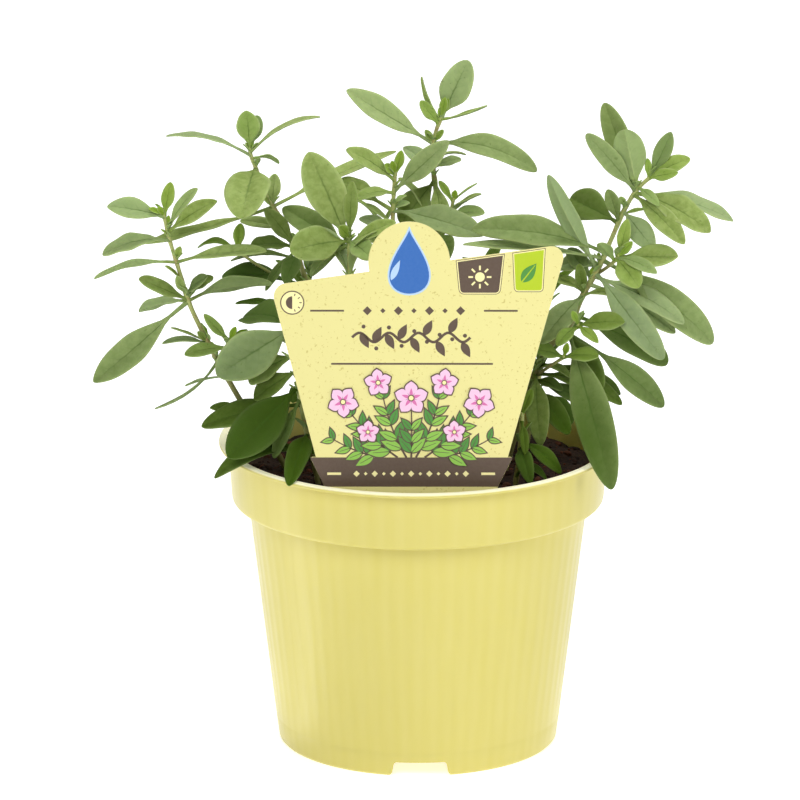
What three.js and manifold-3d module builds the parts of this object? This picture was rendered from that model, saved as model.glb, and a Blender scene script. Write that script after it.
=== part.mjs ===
// A potted Mexican oregano in a pale yellow plastic pot with a printed plant tag.
// Millimetres, +Z up. The origin is the middle of the pot's foot, on the surface it stands on.
// The front of the pot, where the tag stands, looks along -Y.
import * as THREE from 'three';
import { mergeVertices } from 'three/addons/utils/BufferGeometryUtils.js';
import Module from 'manifold-3d';

const wasm = await Module();
wasm.setup();

// Pot
const LIP_RADIUS = 60;
const LIP_WIDTH = 2.3;
const LIP_DEPTH = 1.1;
const POT_HEIGHT = 93.5;
const RIM_TOP_RADIUS = 57.2;
const RIM_FOOT_RADIUS = 56;
const RIM_FOOT_HEIGHT = 75;
const BODY_TOP_RADIUS = 51.2;
const FOOT_RADIUS = 42;
const FOOT_RING = [39.8, 41.3];
const RIM_CURL = 1;
const EDGE = 0.4;
const WALL = 1.3;
const PANEL_UNDERSIDE = 5;
const PANEL_TOP = 6.5;
const POT_SIDES = 40;
const NOTCH_HEIGHT = 4.5;
const NOTCH_TOP_WIDTH = 15.6;
const NOTCH_FOOT_WIDTH = 18.6;
const NOTCH_CORNER = 1;
const NOTCH_CUT = 12;
const NOTCH_ANGLES = [271, 31, 151];
const DRAIN_RADIUS = 4.5;
const DRAIN_RING = 24;
const DRAIN_COUNT = 6;
const DRAIN_SIDES = 10;

// Soil
const SOIL_TOP = 84;
const SOIL_SHOULDER = 82;
const SOIL_RINGS = [16, 32, 47];
const SOIL_RELIEF = 0.7;
const SOIL_GAP = 0.5;
const FIT_GAP = 0.3;
const HOLE_FLOOR = 67;
const HOLE_RISE = 6;
const HOLE_CLEARANCE = 0.75;
const HOLE_SIDES = 6;
const SLOT_CLEARANCE = 0.5;

// Tag: the plate's own X runs to the right and its Y runs up the plate from the rim's height
const TAG_THICKNESS = 0.8;
const TAG_LEAN = 7;
const TAG_MIDDLE = -2;
const TAG_DEPTH = -46.5;
const TAG_CORNERS = [
  [-25.6, -6.5, 0.8], [25.7, -6.5, 0.8], [25.7, -1.4, 0], [30.2, 7.6, 0.5], [28.7, 7.6, 0], [46.3, 71.5, 3.5],
  [-41.7, 59, 4], [-28.3, 7.6, 0], [-30.1, 7.6, 0.5], [-25.6, -1.4, 0],
];
const TAG_BUMP = [-0.6, 66];
const TAG_BUMP_RADIUS = 12.1;
const TAG_BUMP_SIDES = 24;

// The stake's middle line from the plate down, as [height, depth, width]
const STAKE = [
  [90, -46.9, 18], [85, -47.6, 18], [78, -47.7, 15], [70, -47.2, 12.5], [58, -45.9, 9], [46, -44.1, 3],
];

// Leaves and stems
const BLADE_STATIONS = [0, 0.2, 0.5, 0.84];
const MIDDLING_BLADE = 18;
const MIDDLING_BLADE_STATIONS = [0, 0.3, 0.75];
const SMALL_BLADE = 9;
const SMALL_BLADE_STATIONS = [0, 0.55];
const BLADE_WIDEST = 0.52;
const BLADE_TIP_POWER = 0.65;
const FOLD = 16;
const BLADE_THICKNESS = 1.2;
const SMALL_BLADE_THICKNESS = 0.9;
const PETIOLE_SHARE = 0.12;
const PETIOLE_HALF_WIDTH = 0.55;
const STEM_SIDES = 6;
const SEARCH_STEPS = 24;
const FRONT = 270;

// Each shoot has the points of its middle line, its radius at the foot and at the tip, its leaves, and the
// pairs of leaves that stand by rule. A leaf is [height on the shoot, across, away, up, width, arch, lean,
// side, petiole]: the middle three lead from its root to its tip, its upper face leans by lean degrees from
// the sky towards side, which is the front where it isn't given. Pairs are [first height, last height,
// number of pairs, azimuth of the first, length of the first, length of the last].
const STEMS = {
  stem_left: [
    {
      route: [[-37, 2, 68], [-40, 1, 84], [-52.5, -4, 105], [-59, -6, 117.5], [-63.5, -7, 126.5],
        [-68.5, -8, 138], [-72, -8, 150], [-74.3, -7, 157.5], [-76, -6, 165]],
      radii: [1.4, 0.7],
      leaves: [
        [164, -17, -3, 4, 8, 0.06, 40], [164.3, 2, 2, 10, 4.2, -0.04, 85],
        [164.6, -4.5, -2, 2.5, 2.2, 0.05, 40], [164.6, -1.5, -3, 3.6, 2, 0, 80],
        [160, 9, 4, 12, 5, 0.06, 10], [159.5, 15, -5, 11, 6.5, 0.05, 45],
        [157, -20, -4, -3.5, 7, 0.13, 25], [150.5, -24.8, 3, -6, 6, 0.08, -36],
        [150.5, 27, -6, 5, 7.5, 0.05, 16], [151.5, 1.5, -2, 4.5, 2.4, 0, 80],
        [145, -5, -2, 5, 2.4, 0.05, 20], [139, -14.5, -6, 8, 6.5, 0, 34],
        [141, -2.5, -4, 6.5, 3, 0.05, 80], [140.5, 6.5, -5, 7, 5, 0.05, 36],
        [140.5, 8, 4, 4.5, 5, 0.05, 20], [138.5, -15, 4, -4.5, 6, 0.08, -42],
        [138.5, -28.4, -8, -23, 9.5, 0.02, 55, FRONT, 0.2],
        [138.5, 25, 6, 3.5, 8, 0.1, -50], [125.5, -11, -2, 5, 2.4, 0.02, 0],
        [124.5, -14, -4, 1.5, 3.6, 0.12, 20], [125.5, -3, -3, 4, 2.4, 0, 60],
        [119.5, -19, -2, -14.5, 4.5, -0.1, -10], [114.5, -12.5, 3, -4, 3, 0.04, -16],
        [102.5, -11.5, -4, 2.5, 4.6, 0.05, 34],
      ],
      pairs: [],
    },
    {
      route: [[-59.5, -6, 119.5], [-57, -8, 123.5], [-56.5, -9, 126.5]],
      radii: [0.8, 0.6],
      leaves: [
        [126.3, -7.5, -2, 9, 3.4, 0.03, 60], [126.3, 2, 0, 4.5, 2.2, 0, 80],
        [124, -13, -6, -0.5, 5, 0.08, 42], [126, 5.5, 3, 3, 2.4, 0.03, 20],
      ],
      pairs: [],
    },
  ],
  stem_low_left: [
    {
      route: [[-28, -13, 68], [-30, -15, 84], [-34, -20, 105], [-35.5, -22, 116], [-36.5, -23, 130],
        [-36.5, -22, 135]],
      radii: [1.3, 0.8],
      leaves: [
        [116, -21, -16, -17.5, 14, 0.06, 60], [134.8, -23.3, -10, -12.6, 14.5, -0.02, 62],
        [121, -13, 2, -9.5, 8, 0.05, 40], [112, -7.9, -8, -16.2, 4.6, 0.08, 50],
        [91, -29.5, -11, -2, 7.5, 0.3, 30], [100, -5.2, -29.5, -7.2, 7.5, 0.12, 40],
        [134.5, -16, 12, -1, 12, 0.14, 30], [110, -30, 6, -8.5, 9.5, 0.08, 40],
        [134.5, -4, 6, 7, 4, 0.04, 30], [134.5, 3, 2, 8, 3.5, 0.04, 40],
        [126, -14.3, 5, -9.6, 9, 0.08, 45],
      ],
      pairs: [],
    },
  ],
  stem_upper_left: [
    {
      route: [[-18, 10, 68], [-20, 10, 84], [-26, 9, 110], [-33, 8, 138], [-38, 6, 153.5],
        [-41, 6, 160], [-43.5, 6, 164], [-45.5, 5, 168.5], [-48.5, 5, 176], [-50, 5, 180],
        [-50.5, 5, 183]],
      radii: [1.4, 0.65],
      leaves: [
        [182.5, -1, -2, 12, 7.5, 0, 80], [182.5, 2.5, 2, 9.5, 5.5, 0, -80],
        [180, -25.5, 4, 5, 5, 0.09, 0], [181, 21, 4, 10, 5, 0.1, -4],
        [179, 8, 4, -2.5, 4, 0.15, -30], [176, -4, -26, -8.5, 14.5, 0.12, 0],
        [164.5, 1, -3, 10.5, 4.6, 0, 80], [164, -3, -2, 4, 2.2, 0, 40],
        [164, -38, -4, -10.5, 7, -0.02, 6, FRONT, 0.2], [164, 37, 12, 14, 7.5, 0.02, 10, FRONT, 0.15],
        [157, -14, 4, 1.5, 5, 0.05, 28], [152, -8.5, -6, 13, 5.5, 0.04, 60],
        [151, -13, -8, 2.5, 7, 0.1, 26], [148.5, -3.5, -12, -5.5, 6, 0.15, 50],
        [150, -9, -5, -11, 3, 0.2, 50], [147.5, -20.5, 5, -2, 6, 0.08, 0],
        [138, -26, 2, 3, 10, 0.1, 22, FRONT, 0.3], [130.5, -24, 4, 1.5, 3.5, 0.08, 20, FRONT, 0.5],
      ],
      pairs: [],
    },
    {
      route: [[-34, 9, 137], [-45, 9, 143], [-54.5, 7, 150]],
      radii: [0.8, 0.6],
      leaves: [[149.8, -12, 3, 0.3, 5, 0.2, 10], [149.8, 1, 1, 8.5, 3.8, 0.03, 70]],
      pairs: [],
    },
  ],
  stem_front_left: [
    {
      route: [[-14, -18, 68], [-15, -18, 84], [-18, -17, 115], [-20, -16, 140], [-20.5, -15, 158.5],
        [-20.5, -15, 162]],
      radii: [1.3, 0.8],
      leaves: [
        [158, -12, -4, 29.5, 12.5, -0.04, 85], [160, 1, -2, 18, 4.6, 0.02, 85],
        [158, 14, -6, 8.5, 6, 0.05, 36], [159, -17.5, -8, -1, 12, 0.08, 50],
        [158, -11.5, -5, -8.5, 5, 0.1, -60], [159, 7, -10, -3, 7, 0.1, 50],
        [160, -3, -5, 5, 4, 0, 60], [157, -20, 22, 6.5, 9, -0.02, 45],
      ],
      pairs: [[100, 146, 4, 60, 22, 20]],
    },
  ],
  stem_centre: [
    {
      route: [[-3, 5, 68], [-4, 6, 84], [-6, 6, 120], [-7.5, 5, 150], [-7.5, 5, 163], [-7, 5, 173],
        [-6.8, 5, 175]],
      radii: [1.3, 0.65],
      leaves: [
        [172.5, -14.5, -4, 10.5, 6.5, 0.05, 40], [174, -3, -2, 4, 3, 0, 50],
        [174.5, -1, -2, 4.5, 2.4, 0, 70], [174, 2, 1, 7.5, 3.2, 0, 80],
        [169, 16.5, -3, 16.5, 7.5, 0.04, 60], [168.5, -11.5, -4, -1, 5, 0.12, 30],
        [163, -16, 6, 8, 6.5, 0.02, 40, FRONT, 0.3], [163, 27, -14, -4, 11, 0.06, 32],
        [163.5, 5, 2, 1.5, 3.5, 0.1, 20], [159, -8, 1, 6, 2.5, 0.02, 20],
        [157, -10, 6, 2, 5, 0.08, 30], [165, 4, 1, 2.5, 2.2, 0.1, 20],
      ],
      pairs: [[98, 142, 4, 86, 25, 19]],
    },
  ],
  stem_tall: [
    {
      route: [[6, 13, 68], [6, 13, 84], [5.5, 13, 120], [5.5, 12, 150], [5.4, 12, 166], [4.5, 12, 174.5],
        [4.5, 12, 181.5], [5.4, 12, 186], [6.8, 12, 189.5], [7.2, 12, 191]],
      radii: [1.4, 0.65],
      leaves: [
        [190, 8, -3, 18.5, 9.8, 0.03, 80], [190.5, 1, -4, 7, 2.8, 0, 85],
        [190.5, 2, -2, 6, 2.6, 0, 60], [188, -5.5, -1, 7.5, 4, 0.04, 60],
        [189, -5.5, 3, 13, 4, 0.05, 80, 190], [189.5, 14, 3, 3.5, 4.5, -0.04, -12],
        [182, -26, -4, 17.5, 9.5, 0, 34, FRONT, 0.16], [182, 31, -8, -6.5, 9, 0.14, 36],
        [182.5, -2.5, -1, 4, 2.4, 0, 60], [182.5, 3, -1, 4, 2.2, 0, 50],
        [174.5, -9, 3, 5.5, 5.5, 0.05, 40], [174.5, 8.5, -2, 3, 4, 0.08, 30],
        [177, 10, 2, 1, 3, 0.12, -8], [170.5, -10, -2, -13, 9.5, 0.02, 60],
        [171, 2.5, -6, -16, 6, 0.12, 60],
      ],
      pairs: [[105, 151, 4, 85, 26, 22]],
    },
    {
      route: [[5.4, 12, 153], [9, 9, 159], [10.7, 8, 166]],
      radii: [0.8, 0.6],
      leaves: [
        [165, -4.2, 0, 6.5, 2.4, 0, 60], [165.5, 0.6, -1, 3.4, 2, 0, 80],
        [165.5, 7.2, 1, 5, 2.4, 0.02, -5], [159, 11, -3, 3, 6, 0.12, 30],
      ],
      pairs: [],
    },
  ],
  stem_right: [
    {
      route: [[24, -4, 68], [26, -5, 84], [35, -8, 115.5], [40, -8, 125], [45.5, -8, 131],
        [49.3, -7, 140], [54.3, -7, 149.3], [57.8, -6, 157.3], [61.6, -5, 166], [65.4, -4, 172],
        [69, -4, 175.6], [70, -4, 176.5]],
      radii: [1.5, 0.7],
      leaves: [
        [171.5, -9.5, 5, 26, 8, 0, 80], [171.5, -15, -5, 19, 6.5, 0.05, 70],
        [172, -4, -6, 20, 10, 0, -85], [175.6, 6.5, 1, 14, 5.6, 0.02, 80],
        [175.8, 12, -1, 6, 6, 0.06, 45], [175.6, 8.5, -5, 3, 4, 0.06, 60],
        [175.5, -0.5, -1, 6.5, 2.4, 0, 70], [171, 29.6, 3, -9.5, 8.5, 0.06, 20],
        [171, 22.5, -8, -10, 10, 0.12, 34], [170.5, 15, -14, -11.5, 7.5, 0.1, 45],
        [172.5, 6, -8, -3.5, 3.5, 0.12, 50], [164.5, 7, -1, 2, 2.4, 0.05, 20],
        [162.5, -3.5, -4, 11, 4.6, 0.02, 85], [167, -2, -2, 3.5, 2.2, 0, 60],
        [162, -14, 14, 4, 11, 0.1, 60], [165.5, 9, -6, -10, 7.5, 0.12, 60],
        [148, -15, -10, 32, 6.5, -0.02, -70], [153, -40, -10, 10, 11.5, 0.1, 35],
        [151.5, -42, -14, 8, 6, 0.03, 20], [145, -7, 6, 8, 5.5, 0.1, 60],
        [149, -12, 10, -3, 8, 0.1, 40], [141, -10, 8, 2, 5, 0.1, 20],
        [140.5, -1.5, -4, 10.5, 3.8, 0.02, 85], [147, 20, -17, -22, 9, 0.1, 60],
        [146, 27, -6, -13, 8, 0.08, 40], [151, 33.5, 8, -28, 10.5, 0.16, 60],
        [143.5, 26, 3, -16, 8, 0.1, 40], [134, 28, 4, -16, 10, 0.1, 50],
        [129, 30, 3, -24, 8.5, 0.17, 60, FRONT, 0.3], [140, 11, -6, 1.5, 4, 0.1, 20],
        [140, -13, -14, -11, 8, 0.14, 60], [129.5, 10.5, -6, -17, 8, 0.1, 60],
        [130, 13, -26, -42.5, 12, 0.1, 65], [119, 24.5, 2, -10, 7, 0.15, 50],
        [116, 26, -2, -9, 6.5, 0.2, 50], [114, 22, -4, -9, 5.5, 0.1, 50],
        [116, 1.5, -14, -18.5, 7.5, 0.2, 70], [110, 12, -12, -9.5, 7.5, 0.2, 50],
        [117, 10, -8, 0, 4, 0.2, 10], [113.5, 9, -5, -1.5, 4.5, 0.15, 30],
      ],
      pairs: [],
    },
    {
      route: [[54, -7, 147], [57, -10, 150], [59.6, -12, 153], [60, -12.5, 154]],
      radii: [0.8, 0.6],
      leaves: [
        [153.5, 4, -3, 5.5, 3, 0.03, 60], [153.5, 17.5, -7, 2, 9, 0, 40],
        [153, 11.5, -10, -2, 4.5, 0.12, 50], [152.5, 6.5, -10, -6, 7.8, 0.14, 55],
        [152, -5, -6, 7, 4.2, 0.02, -60], [153.5, 2.5, -1, 12, 4.2, 0.02, 70],
      ],
      pairs: [],
    },
    {
      route: [[43, -8, 128], [45.5, -13, 130], [47.7, -18, 133.6], [47.8, -18.6, 134.5]],
      radii: [0.8, 0.6],
      leaves: [
        [133.8, 13.8, -5, 2.5, 7.2, 0.08, 40], [133.6, 6, -8, -3, 3.4, 0.1, 50],
        [133, -6, -6, -4, 4.5, 0.15, 50], [134.3, -2, -3, 5, 2.4, 0, 60],
      ],
      pairs: [],
    },
    {
      route: [[36, -9, 116], [39, -15, 120], [43.2, -20, 124.3], [43.5, -20.8, 125.2]],
      radii: [0.8, 0.6],
      leaves: [
        [124.5, 10.5, -3, 1.2, 6, 0.08, 35], [124.5, -9, -3, 3, 6, 0.08, 35],
        [125, 1, -3, 5, 2.2, 0, 60],
      ],
      pairs: [],
    },
  ],
  stem_low_right: [
    {
      route: [[28, -24, 68], [29, -23, 84], [30.5, -23, 96], [31, -24, 106], [31, -24, 108]],
      radii: [1.2, 0.8],
      leaves: [
        [106, 1, -6, -9, 3, 0.15, 50], [97, 3, -12, -7.5, 5.5, 0.25, 60],
        [99, 12, -6, -8, 5, 0.25, 50], [88, 9, -6, 1, 3.5, 0.4, 20],
        [107.5, -6, 3, 5, 4, 0.1, 30], [107.5, 3, 4, 7, 3.4, 0.05, 40],
      ],
      pairs: [],
    },
  ],
  stem_back_1: [
    {
      route: [[-26, 26, 68], [-27, 27, 84], [-31, 33, 110], [-33, 38, 134]],
      radii: [1.3, 0.7],
      leaves: [],
      pairs: [[97, 133, 5, 74, 25, 15]],
    },
  ],
  stem_back_2: [
    {
      route: [[-7, 34, 68], [-8, 35, 84], [-10, 39, 114], [-11, 42, 146]],
      radii: [1.3, 0.7],
      leaves: [],
      pairs: [[101, 145, 5, 10, 24, 15]],
    },
  ],
  stem_back_3: [
    {
      route: [[14, 33, 68], [15, 34, 84], [18, 38, 108], [20, 41, 130]],
      radii: [1.3, 0.7],
      leaves: [],
      pairs: [[96, 129, 5, 50, 25, 15]],
    },
  ],
  stem_back_4: [
    {
      route: [[32, 20, 68], [33, 22, 84], [37, 27, 106], [39, 31, 126]],
      radii: [1.3, 0.7],
      leaves: [],
      pairs: [[98, 125, 4, 125, 26, 15]],
    },
  ],
};
const RULE_SEED = 7129;
const RULE_WIDTH = 0.34;
const RULE_ARCH = 0.13;
const RULE_LEAN = 25;
const RULE_RISE = [6, 52];
const RULE_TURN = 24;
const RULE_SPREAD = 0.14;

// Colours and finish
const FINISHES = {
  pot: { color: 0xe4db84, roughness: 0.45, metalness: 0 },
  soil: { color: 0x2a1d15, roughness: 0.95, metalness: 0 },
  plant_tag: { color: 0xf6f0a0, roughness: 0.4, metalness: 0 },
  leaf: { color: 0x6f8f45, roughness: 0.6, metalness: 0 },
};

const radians = THREE.MathUtils.degToRad;

// A seeded generator, so that every run gives the same plant
const MULTIPLIER = 16807;
const MODULUS = 2147483647;
let seed = RULE_SEED;
function random() {
  seed = (seed * MULTIPLIER) % MODULUS;
  return seed / MODULUS;
}

function vec(x, y, z) {
  return new THREE.Vector3(x, y, z);
}

// A closed solid through rings of points. A ring of one point is a tip.
function loft(rings) {
  const points = [];
  const faces = [];
  const starts = rings.map((ring) => {
    const start = points.length;
    points.push(...ring);
    return start;
  });
  const sides = rings[0].length;
  for (let r = 0; r + 1 < rings.length; r += 1) {
    for (let k = 0; k < sides; k += 1) {
      const next = (k + 1) % sides;
      if (rings[r + 1].length === 1) {
        faces.push(starts[r] + k, starts[r] + next, starts[r + 1]);
      } else {
        faces.push(starts[r] + k, starts[r] + next, starts[r + 1] + k);
        faces.push(starts[r] + next, starts[r + 1] + next, starts[r + 1] + k);
      }
    }
  }
  for (let k = 1; k + 1 < sides; k += 1) {
    faces.push(starts[0], starts[0] + k + 1, starts[0] + k);
    const last = starts[rings.length - 1];
    if (rings[rings.length - 1].length > 1) faces.push(last, last + k, last + k + 1);
  }
  const geometry = new THREE.BufferGeometry().setFromPoints(points);
  geometry.setIndex(faces);
  return geometry;
}

function toSolid(geometry) {
  const bare = geometry.clone();
  bare.deleteAttribute('normal');
  bare.deleteAttribute('uv');
  const merged = mergeVertices(bare, 1e-5);
  return new wasm.Manifold(new wasm.Mesh({
    numProp: 3,
    vertProperties: new Float32Array(merged.attributes.position.array),
    triVerts: new Uint32Array(merged.index.array),
  }));
}

function toGeometry(solid) {
  const mesh = solid.getMesh();
  const geometry = new THREE.BufferGeometry();
  geometry.setAttribute('position', new THREE.BufferAttribute(mesh.vertProperties, 3));
  geometry.setIndex(new THREE.BufferAttribute(mesh.triVerts, 1));
  geometry.computeVertexNormals();
  return geometry;
}

function united(solids) {
  return solids.reduce((whole, next) => whole.add(next));
}

function piece(name, finish, solid) {
  const mesh = new THREE.Mesh(toGeometry(solid), new THREE.MeshStandardMaterial(FINISHES[finish]));
  mesh.name = name;
  return mesh;
}

// An outline through corners of [x, y, radius], each rounded by an arc of its radius
function roundedOutline(corners) {
  const shape = new THREE.Shape();
  corners.forEach(([x, y, radius], k) => {
    const corner = new THREE.Vector2(x, y);
    const [before, after] = [corners.at(k - 1), corners[(k + 1) % corners.length]]
      .map((other) => new THREE.Vector2(other[0], other[1]).sub(corner).normalize());
    const half = before.angleTo(after) / 2;
    const from = corner.clone().addScaledVector(before, radius / Math.tan(half));
    shape[k === 0 ? 'moveTo' : 'lineTo'](from.x, from.y);
    if (radius === 0) return;
    const to = corner.clone().addScaledVector(after, radius / Math.tan(half));
    const middle = before.clone().add(after).normalize();
    const centre = corner.clone().addScaledVector(middle, radius / Math.sin(half));
    const [start, end] = [from, to].map((point) => point.clone().sub(centre).angle());
    shape.absarc(centre.x, centre.y, radius, start, end, false);
  });
  return shape;
}

// The outside of the tapered body, below the rim
function bodyRadius(height) {
  return THREE.MathUtils.mapLinear(height, 0, RIM_FOOT_HEIGHT, FOOT_RADIUS, BODY_TOP_RADIUS);
}

// The pot's section: up the outside, over the lip and down the inside
function potSection() {
  const underLip = POT_HEIGHT - LIP_DEPTH;
  return [
    [0, PANEL_UNDERSIDE], [FOOT_RING[0] - EDGE, PANEL_UNDERSIDE], [FOOT_RING[0], 0], [FOOT_RING[1], 0],
    [FOOT_RADIUS, 2 * EDGE], [BODY_TOP_RADIUS, RIM_FOOT_HEIGHT], [RIM_FOOT_RADIUS - RIM_CURL, RIM_FOOT_HEIGHT],
    [RIM_FOOT_RADIUS, RIM_FOOT_HEIGHT + RIM_CURL], [RIM_TOP_RADIUS, underLip], [LIP_RADIUS - EDGE, underLip],
    [LIP_RADIUS, underLip + EDGE], [LIP_RADIUS, POT_HEIGHT - EDGE], [LIP_RADIUS - EDGE, POT_HEIGHT],
    [LIP_RADIUS - LIP_WIDTH, POT_HEIGHT], [RIM_TOP_RADIUS - WALL, underLip],
    [RIM_FOOT_RADIUS - WALL, RIM_FOOT_HEIGHT + WALL], [BODY_TOP_RADIUS - WALL, RIM_FOOT_HEIGHT + WALL / 2],
    [bodyRadius(PANEL_TOP) - WALL, PANEL_TOP], [0, PANEL_TOP],
  ];
}

// A lathe turns about Y, so it's laid over to stand on Z
function turned(section) {
  const lathe = new THREE.LatheGeometry(section.map(([r, z]) => new THREE.Vector2(r, z)), POT_SIDES);
  lathe.rotateX(Math.PI / 2);
  return lathe;
}

function pot() {
  let body = toSolid(turned(potSection()));
  for (const angle of NOTCH_ANGLES) body = body.subtract(toSolid(notch(angle)));
  for (let k = 0; k <= DRAIN_COUNT; k += 1) {
    const ring = k === 0 ? 0 : DRAIN_RING;
    const angle = (k * 2 * Math.PI) / DRAIN_COUNT;
    const drain = new THREE.CylinderGeometry(DRAIN_RADIUS, DRAIN_RADIUS, PANEL_UNDERSIDE, DRAIN_SIDES);
    drain.rotateX(Math.PI / 2);
    drain.translate(ring * Math.cos(angle), ring * Math.sin(angle), (PANEL_UNDERSIDE + PANEL_TOP) / 2);
    body = body.subtract(toSolid(drain));
  }
  return body;
}

// The cutter of a notch in the foot ring: its slanting sides go on below the ring
function notch(angle) {
  const top = NOTCH_TOP_WIDTH / 2;
  const low = NOTCH_FOOT_WIDTH - top;
  const shape = roundedOutline([
    [-low, -NOTCH_HEIGHT, 0], [low, -NOTCH_HEIGHT, 0], [top, NOTCH_HEIGHT, NOTCH_CORNER],
    [-top, NOTCH_HEIGHT, NOTCH_CORNER],
  ]);
  const cutter = new THREE.ExtrudeGeometry(shape, { depth: NOTCH_CUT, bevelEnabled: false, curveSegments: 2 });
  cutter.rotateX(Math.PI / 2);
  cutter.translate(0, NOTCH_CUT / 2 - FOOT_RADIUS, 0);
  cutter.rotateZ(radians(angle - FRONT));
  return cutter;
}

// Loose hollows and humps of the soil's top
function soilHeight(x, y) {
  const broad = Math.sin(0.21 * x + 0.6) * Math.cos(0.17 * y);
  const close = Math.sin(0.36 * y - 0.13 * x + 1.2);
  return SOIL_TOP + SOIL_RELIEF * (broad + 0.7 * close);
}

function soil() {
  const floor = PANEL_TOP + FIT_GAP;
  const step = RIM_FOOT_HEIGHT + WALL + FIT_GAP;
  const inset = WALL + SOIL_GAP;
  const section = [
    [0, floor], [bodyRadius(floor) - inset, floor], [BODY_TOP_RADIUS - inset, step],
    [RIM_FOOT_RADIUS - inset, step], [RIM_FOOT_RADIUS - inset, SOIL_SHOULDER],
    ...[...SOIL_RINGS].reverse().map((r) => [r, SOIL_TOP]), [0, SOIL_TOP],
  ];
  const plug = turned(section);
  const place = plug.attributes.position;
  for (let k = 0; k < place.count; k += 1) {
    if (place.getZ(k) > (SOIL_TOP + SOIL_SHOULDER) / 2) place.setZ(k, soilHeight(place.getX(k), place.getY(k)));
  }
  let body = toSolid(plug);
  for (const shoots of Object.values(STEMS)) body = body.subtract(stemHole(shoots[0]));
  return body.subtract(toSolid(stake(SLOT_CLEARANCE)));
}

// The plain round hole that a stem stands in
function stemHole({ route, radii }) {
  const foot = vec(...route[0]);
  const mouth = vec(...route[1]);
  const along = mouth.clone().sub(foot);
  const deep = foot.clone().addScaledVector(along, (HOLE_FLOOR - foot.z) / along.z);
  const high = mouth.clone().addScaledVector(along, HOLE_RISE / along.z);
  const radius = radii[0] + HOLE_CLEARANCE;
  return toSolid(loft([deep, high].map((centre) => ringAround(centre, along, radius, HOLE_SIDES))));
}

// Stands the flat plate up in the pot, leaning back
function tagToPot(geometry) {
  geometry.rotateX(Math.PI / 2);
  geometry.rotateX(-radians(TAG_LEAN));
  geometry.translate(TAG_MIDDLE, TAG_DEPTH, POT_HEIGHT);
  return geometry;
}

// The stake, or with a gap all round it the slot that it stands in
function stake(gap) {
  const rings = STAKE.map(([z, y, width], k) => {
    const left = TAG_MIDDLE - width / 2 - gap;
    const right = TAG_MIDDLE + width / 2 + gap;
    const thick = TAG_THICKNESS / 2 + gap;
    const height = k === STAKE.length - 1 ? z - gap : z;
    return [vec(left, y - thick, height), vec(left, y + thick, height), vec(right, y + thick, height),
      vec(right, y - thick, height)];
  });
  return loft(rings);
}

function tag() {
  const outline = { depth: TAG_THICKNESS, bevelEnabled: false, curveSegments: 3 };
  const plate = new THREE.ExtrudeGeometry(roundedOutline(TAG_CORNERS), outline);
  plate.translate(0, 0, -TAG_THICKNESS / 2);
  const bump = new THREE.CylinderGeometry(TAG_BUMP_RADIUS, TAG_BUMP_RADIUS, TAG_THICKNESS, TAG_BUMP_SIDES);
  bump.rotateX(Math.PI / 2);
  bump.translate(...TAG_BUMP, 0);
  return toSolid(tagToPot(plate)).add(toSolid(tagToPot(bump))).add(toSolid(stake(0)));
}

// Stems
function ringAround(centre, along, radius, sides) {
  const tangent = along.clone().normalize();
  const across = tangent.clone().cross(vec(0, 1, 0)).normalize();
  const other = tangent.clone().cross(across);
  return Array.from({ length: sides }, (_, k) => {
    const angle = (2 * Math.PI * k) / sides;
    return centre.clone().addScaledVector(across, radius * Math.cos(angle))
      .addScaledVector(other, radius * Math.sin(angle));
  });
}

function shootCurve(shoot) {
  return new THREE.CatmullRomCurve3(shoot.route.map((p) => vec(...p)), false, 'catmullrom', 0.5);
}

function shootTube(shoot) {
  const curve = shootCurve(shoot);
  const steps = shoot.route.length - 1;
  const rings = [];
  for (let k = 0; k <= steps; k += 1) {
    const share = k / steps;
    const radius = THREE.MathUtils.lerp(shoot.radii[0], shoot.radii[1], share);
    rings.push(ringAround(curve.getPoint(share), curve.getTangent(share), radius, STEM_SIDES));
  }
  return loft(rings);
}

// The point of a shoot's middle line at a height
function pointAt(curve, height) {
  let low = 0;
  let high = 1;
  for (let k = 0; k < SEARCH_STEPS; k += 1) {
    const middle = (low + high) / 2;
    if (curve.getPoint(middle).z < height) low = middle;
    else high = middle;
  }
  return curve.getPoint((low + high) / 2);
}

// A blade's half width as a share of its widest: it tapers to its base at 0 and is blunt at its tip at 1
function bladeProfile(share) {
  if (share < BLADE_WIDEST) return Math.sin((Math.PI / 2) * (share / BLADE_WIDEST));
  return (1 - ((share - BLADE_WIDEST) / (1 - BLADE_WIDEST)) ** 2) ** BLADE_TIP_POWER;
}

function bladeStations(length) {
  if (length < SMALL_BLADE) return SMALL_BLADE_STATIONS;
  return length < MIDDLING_BLADE ? MIDDLING_BLADE_STATIONS : BLADE_STATIONS;
}

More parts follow.
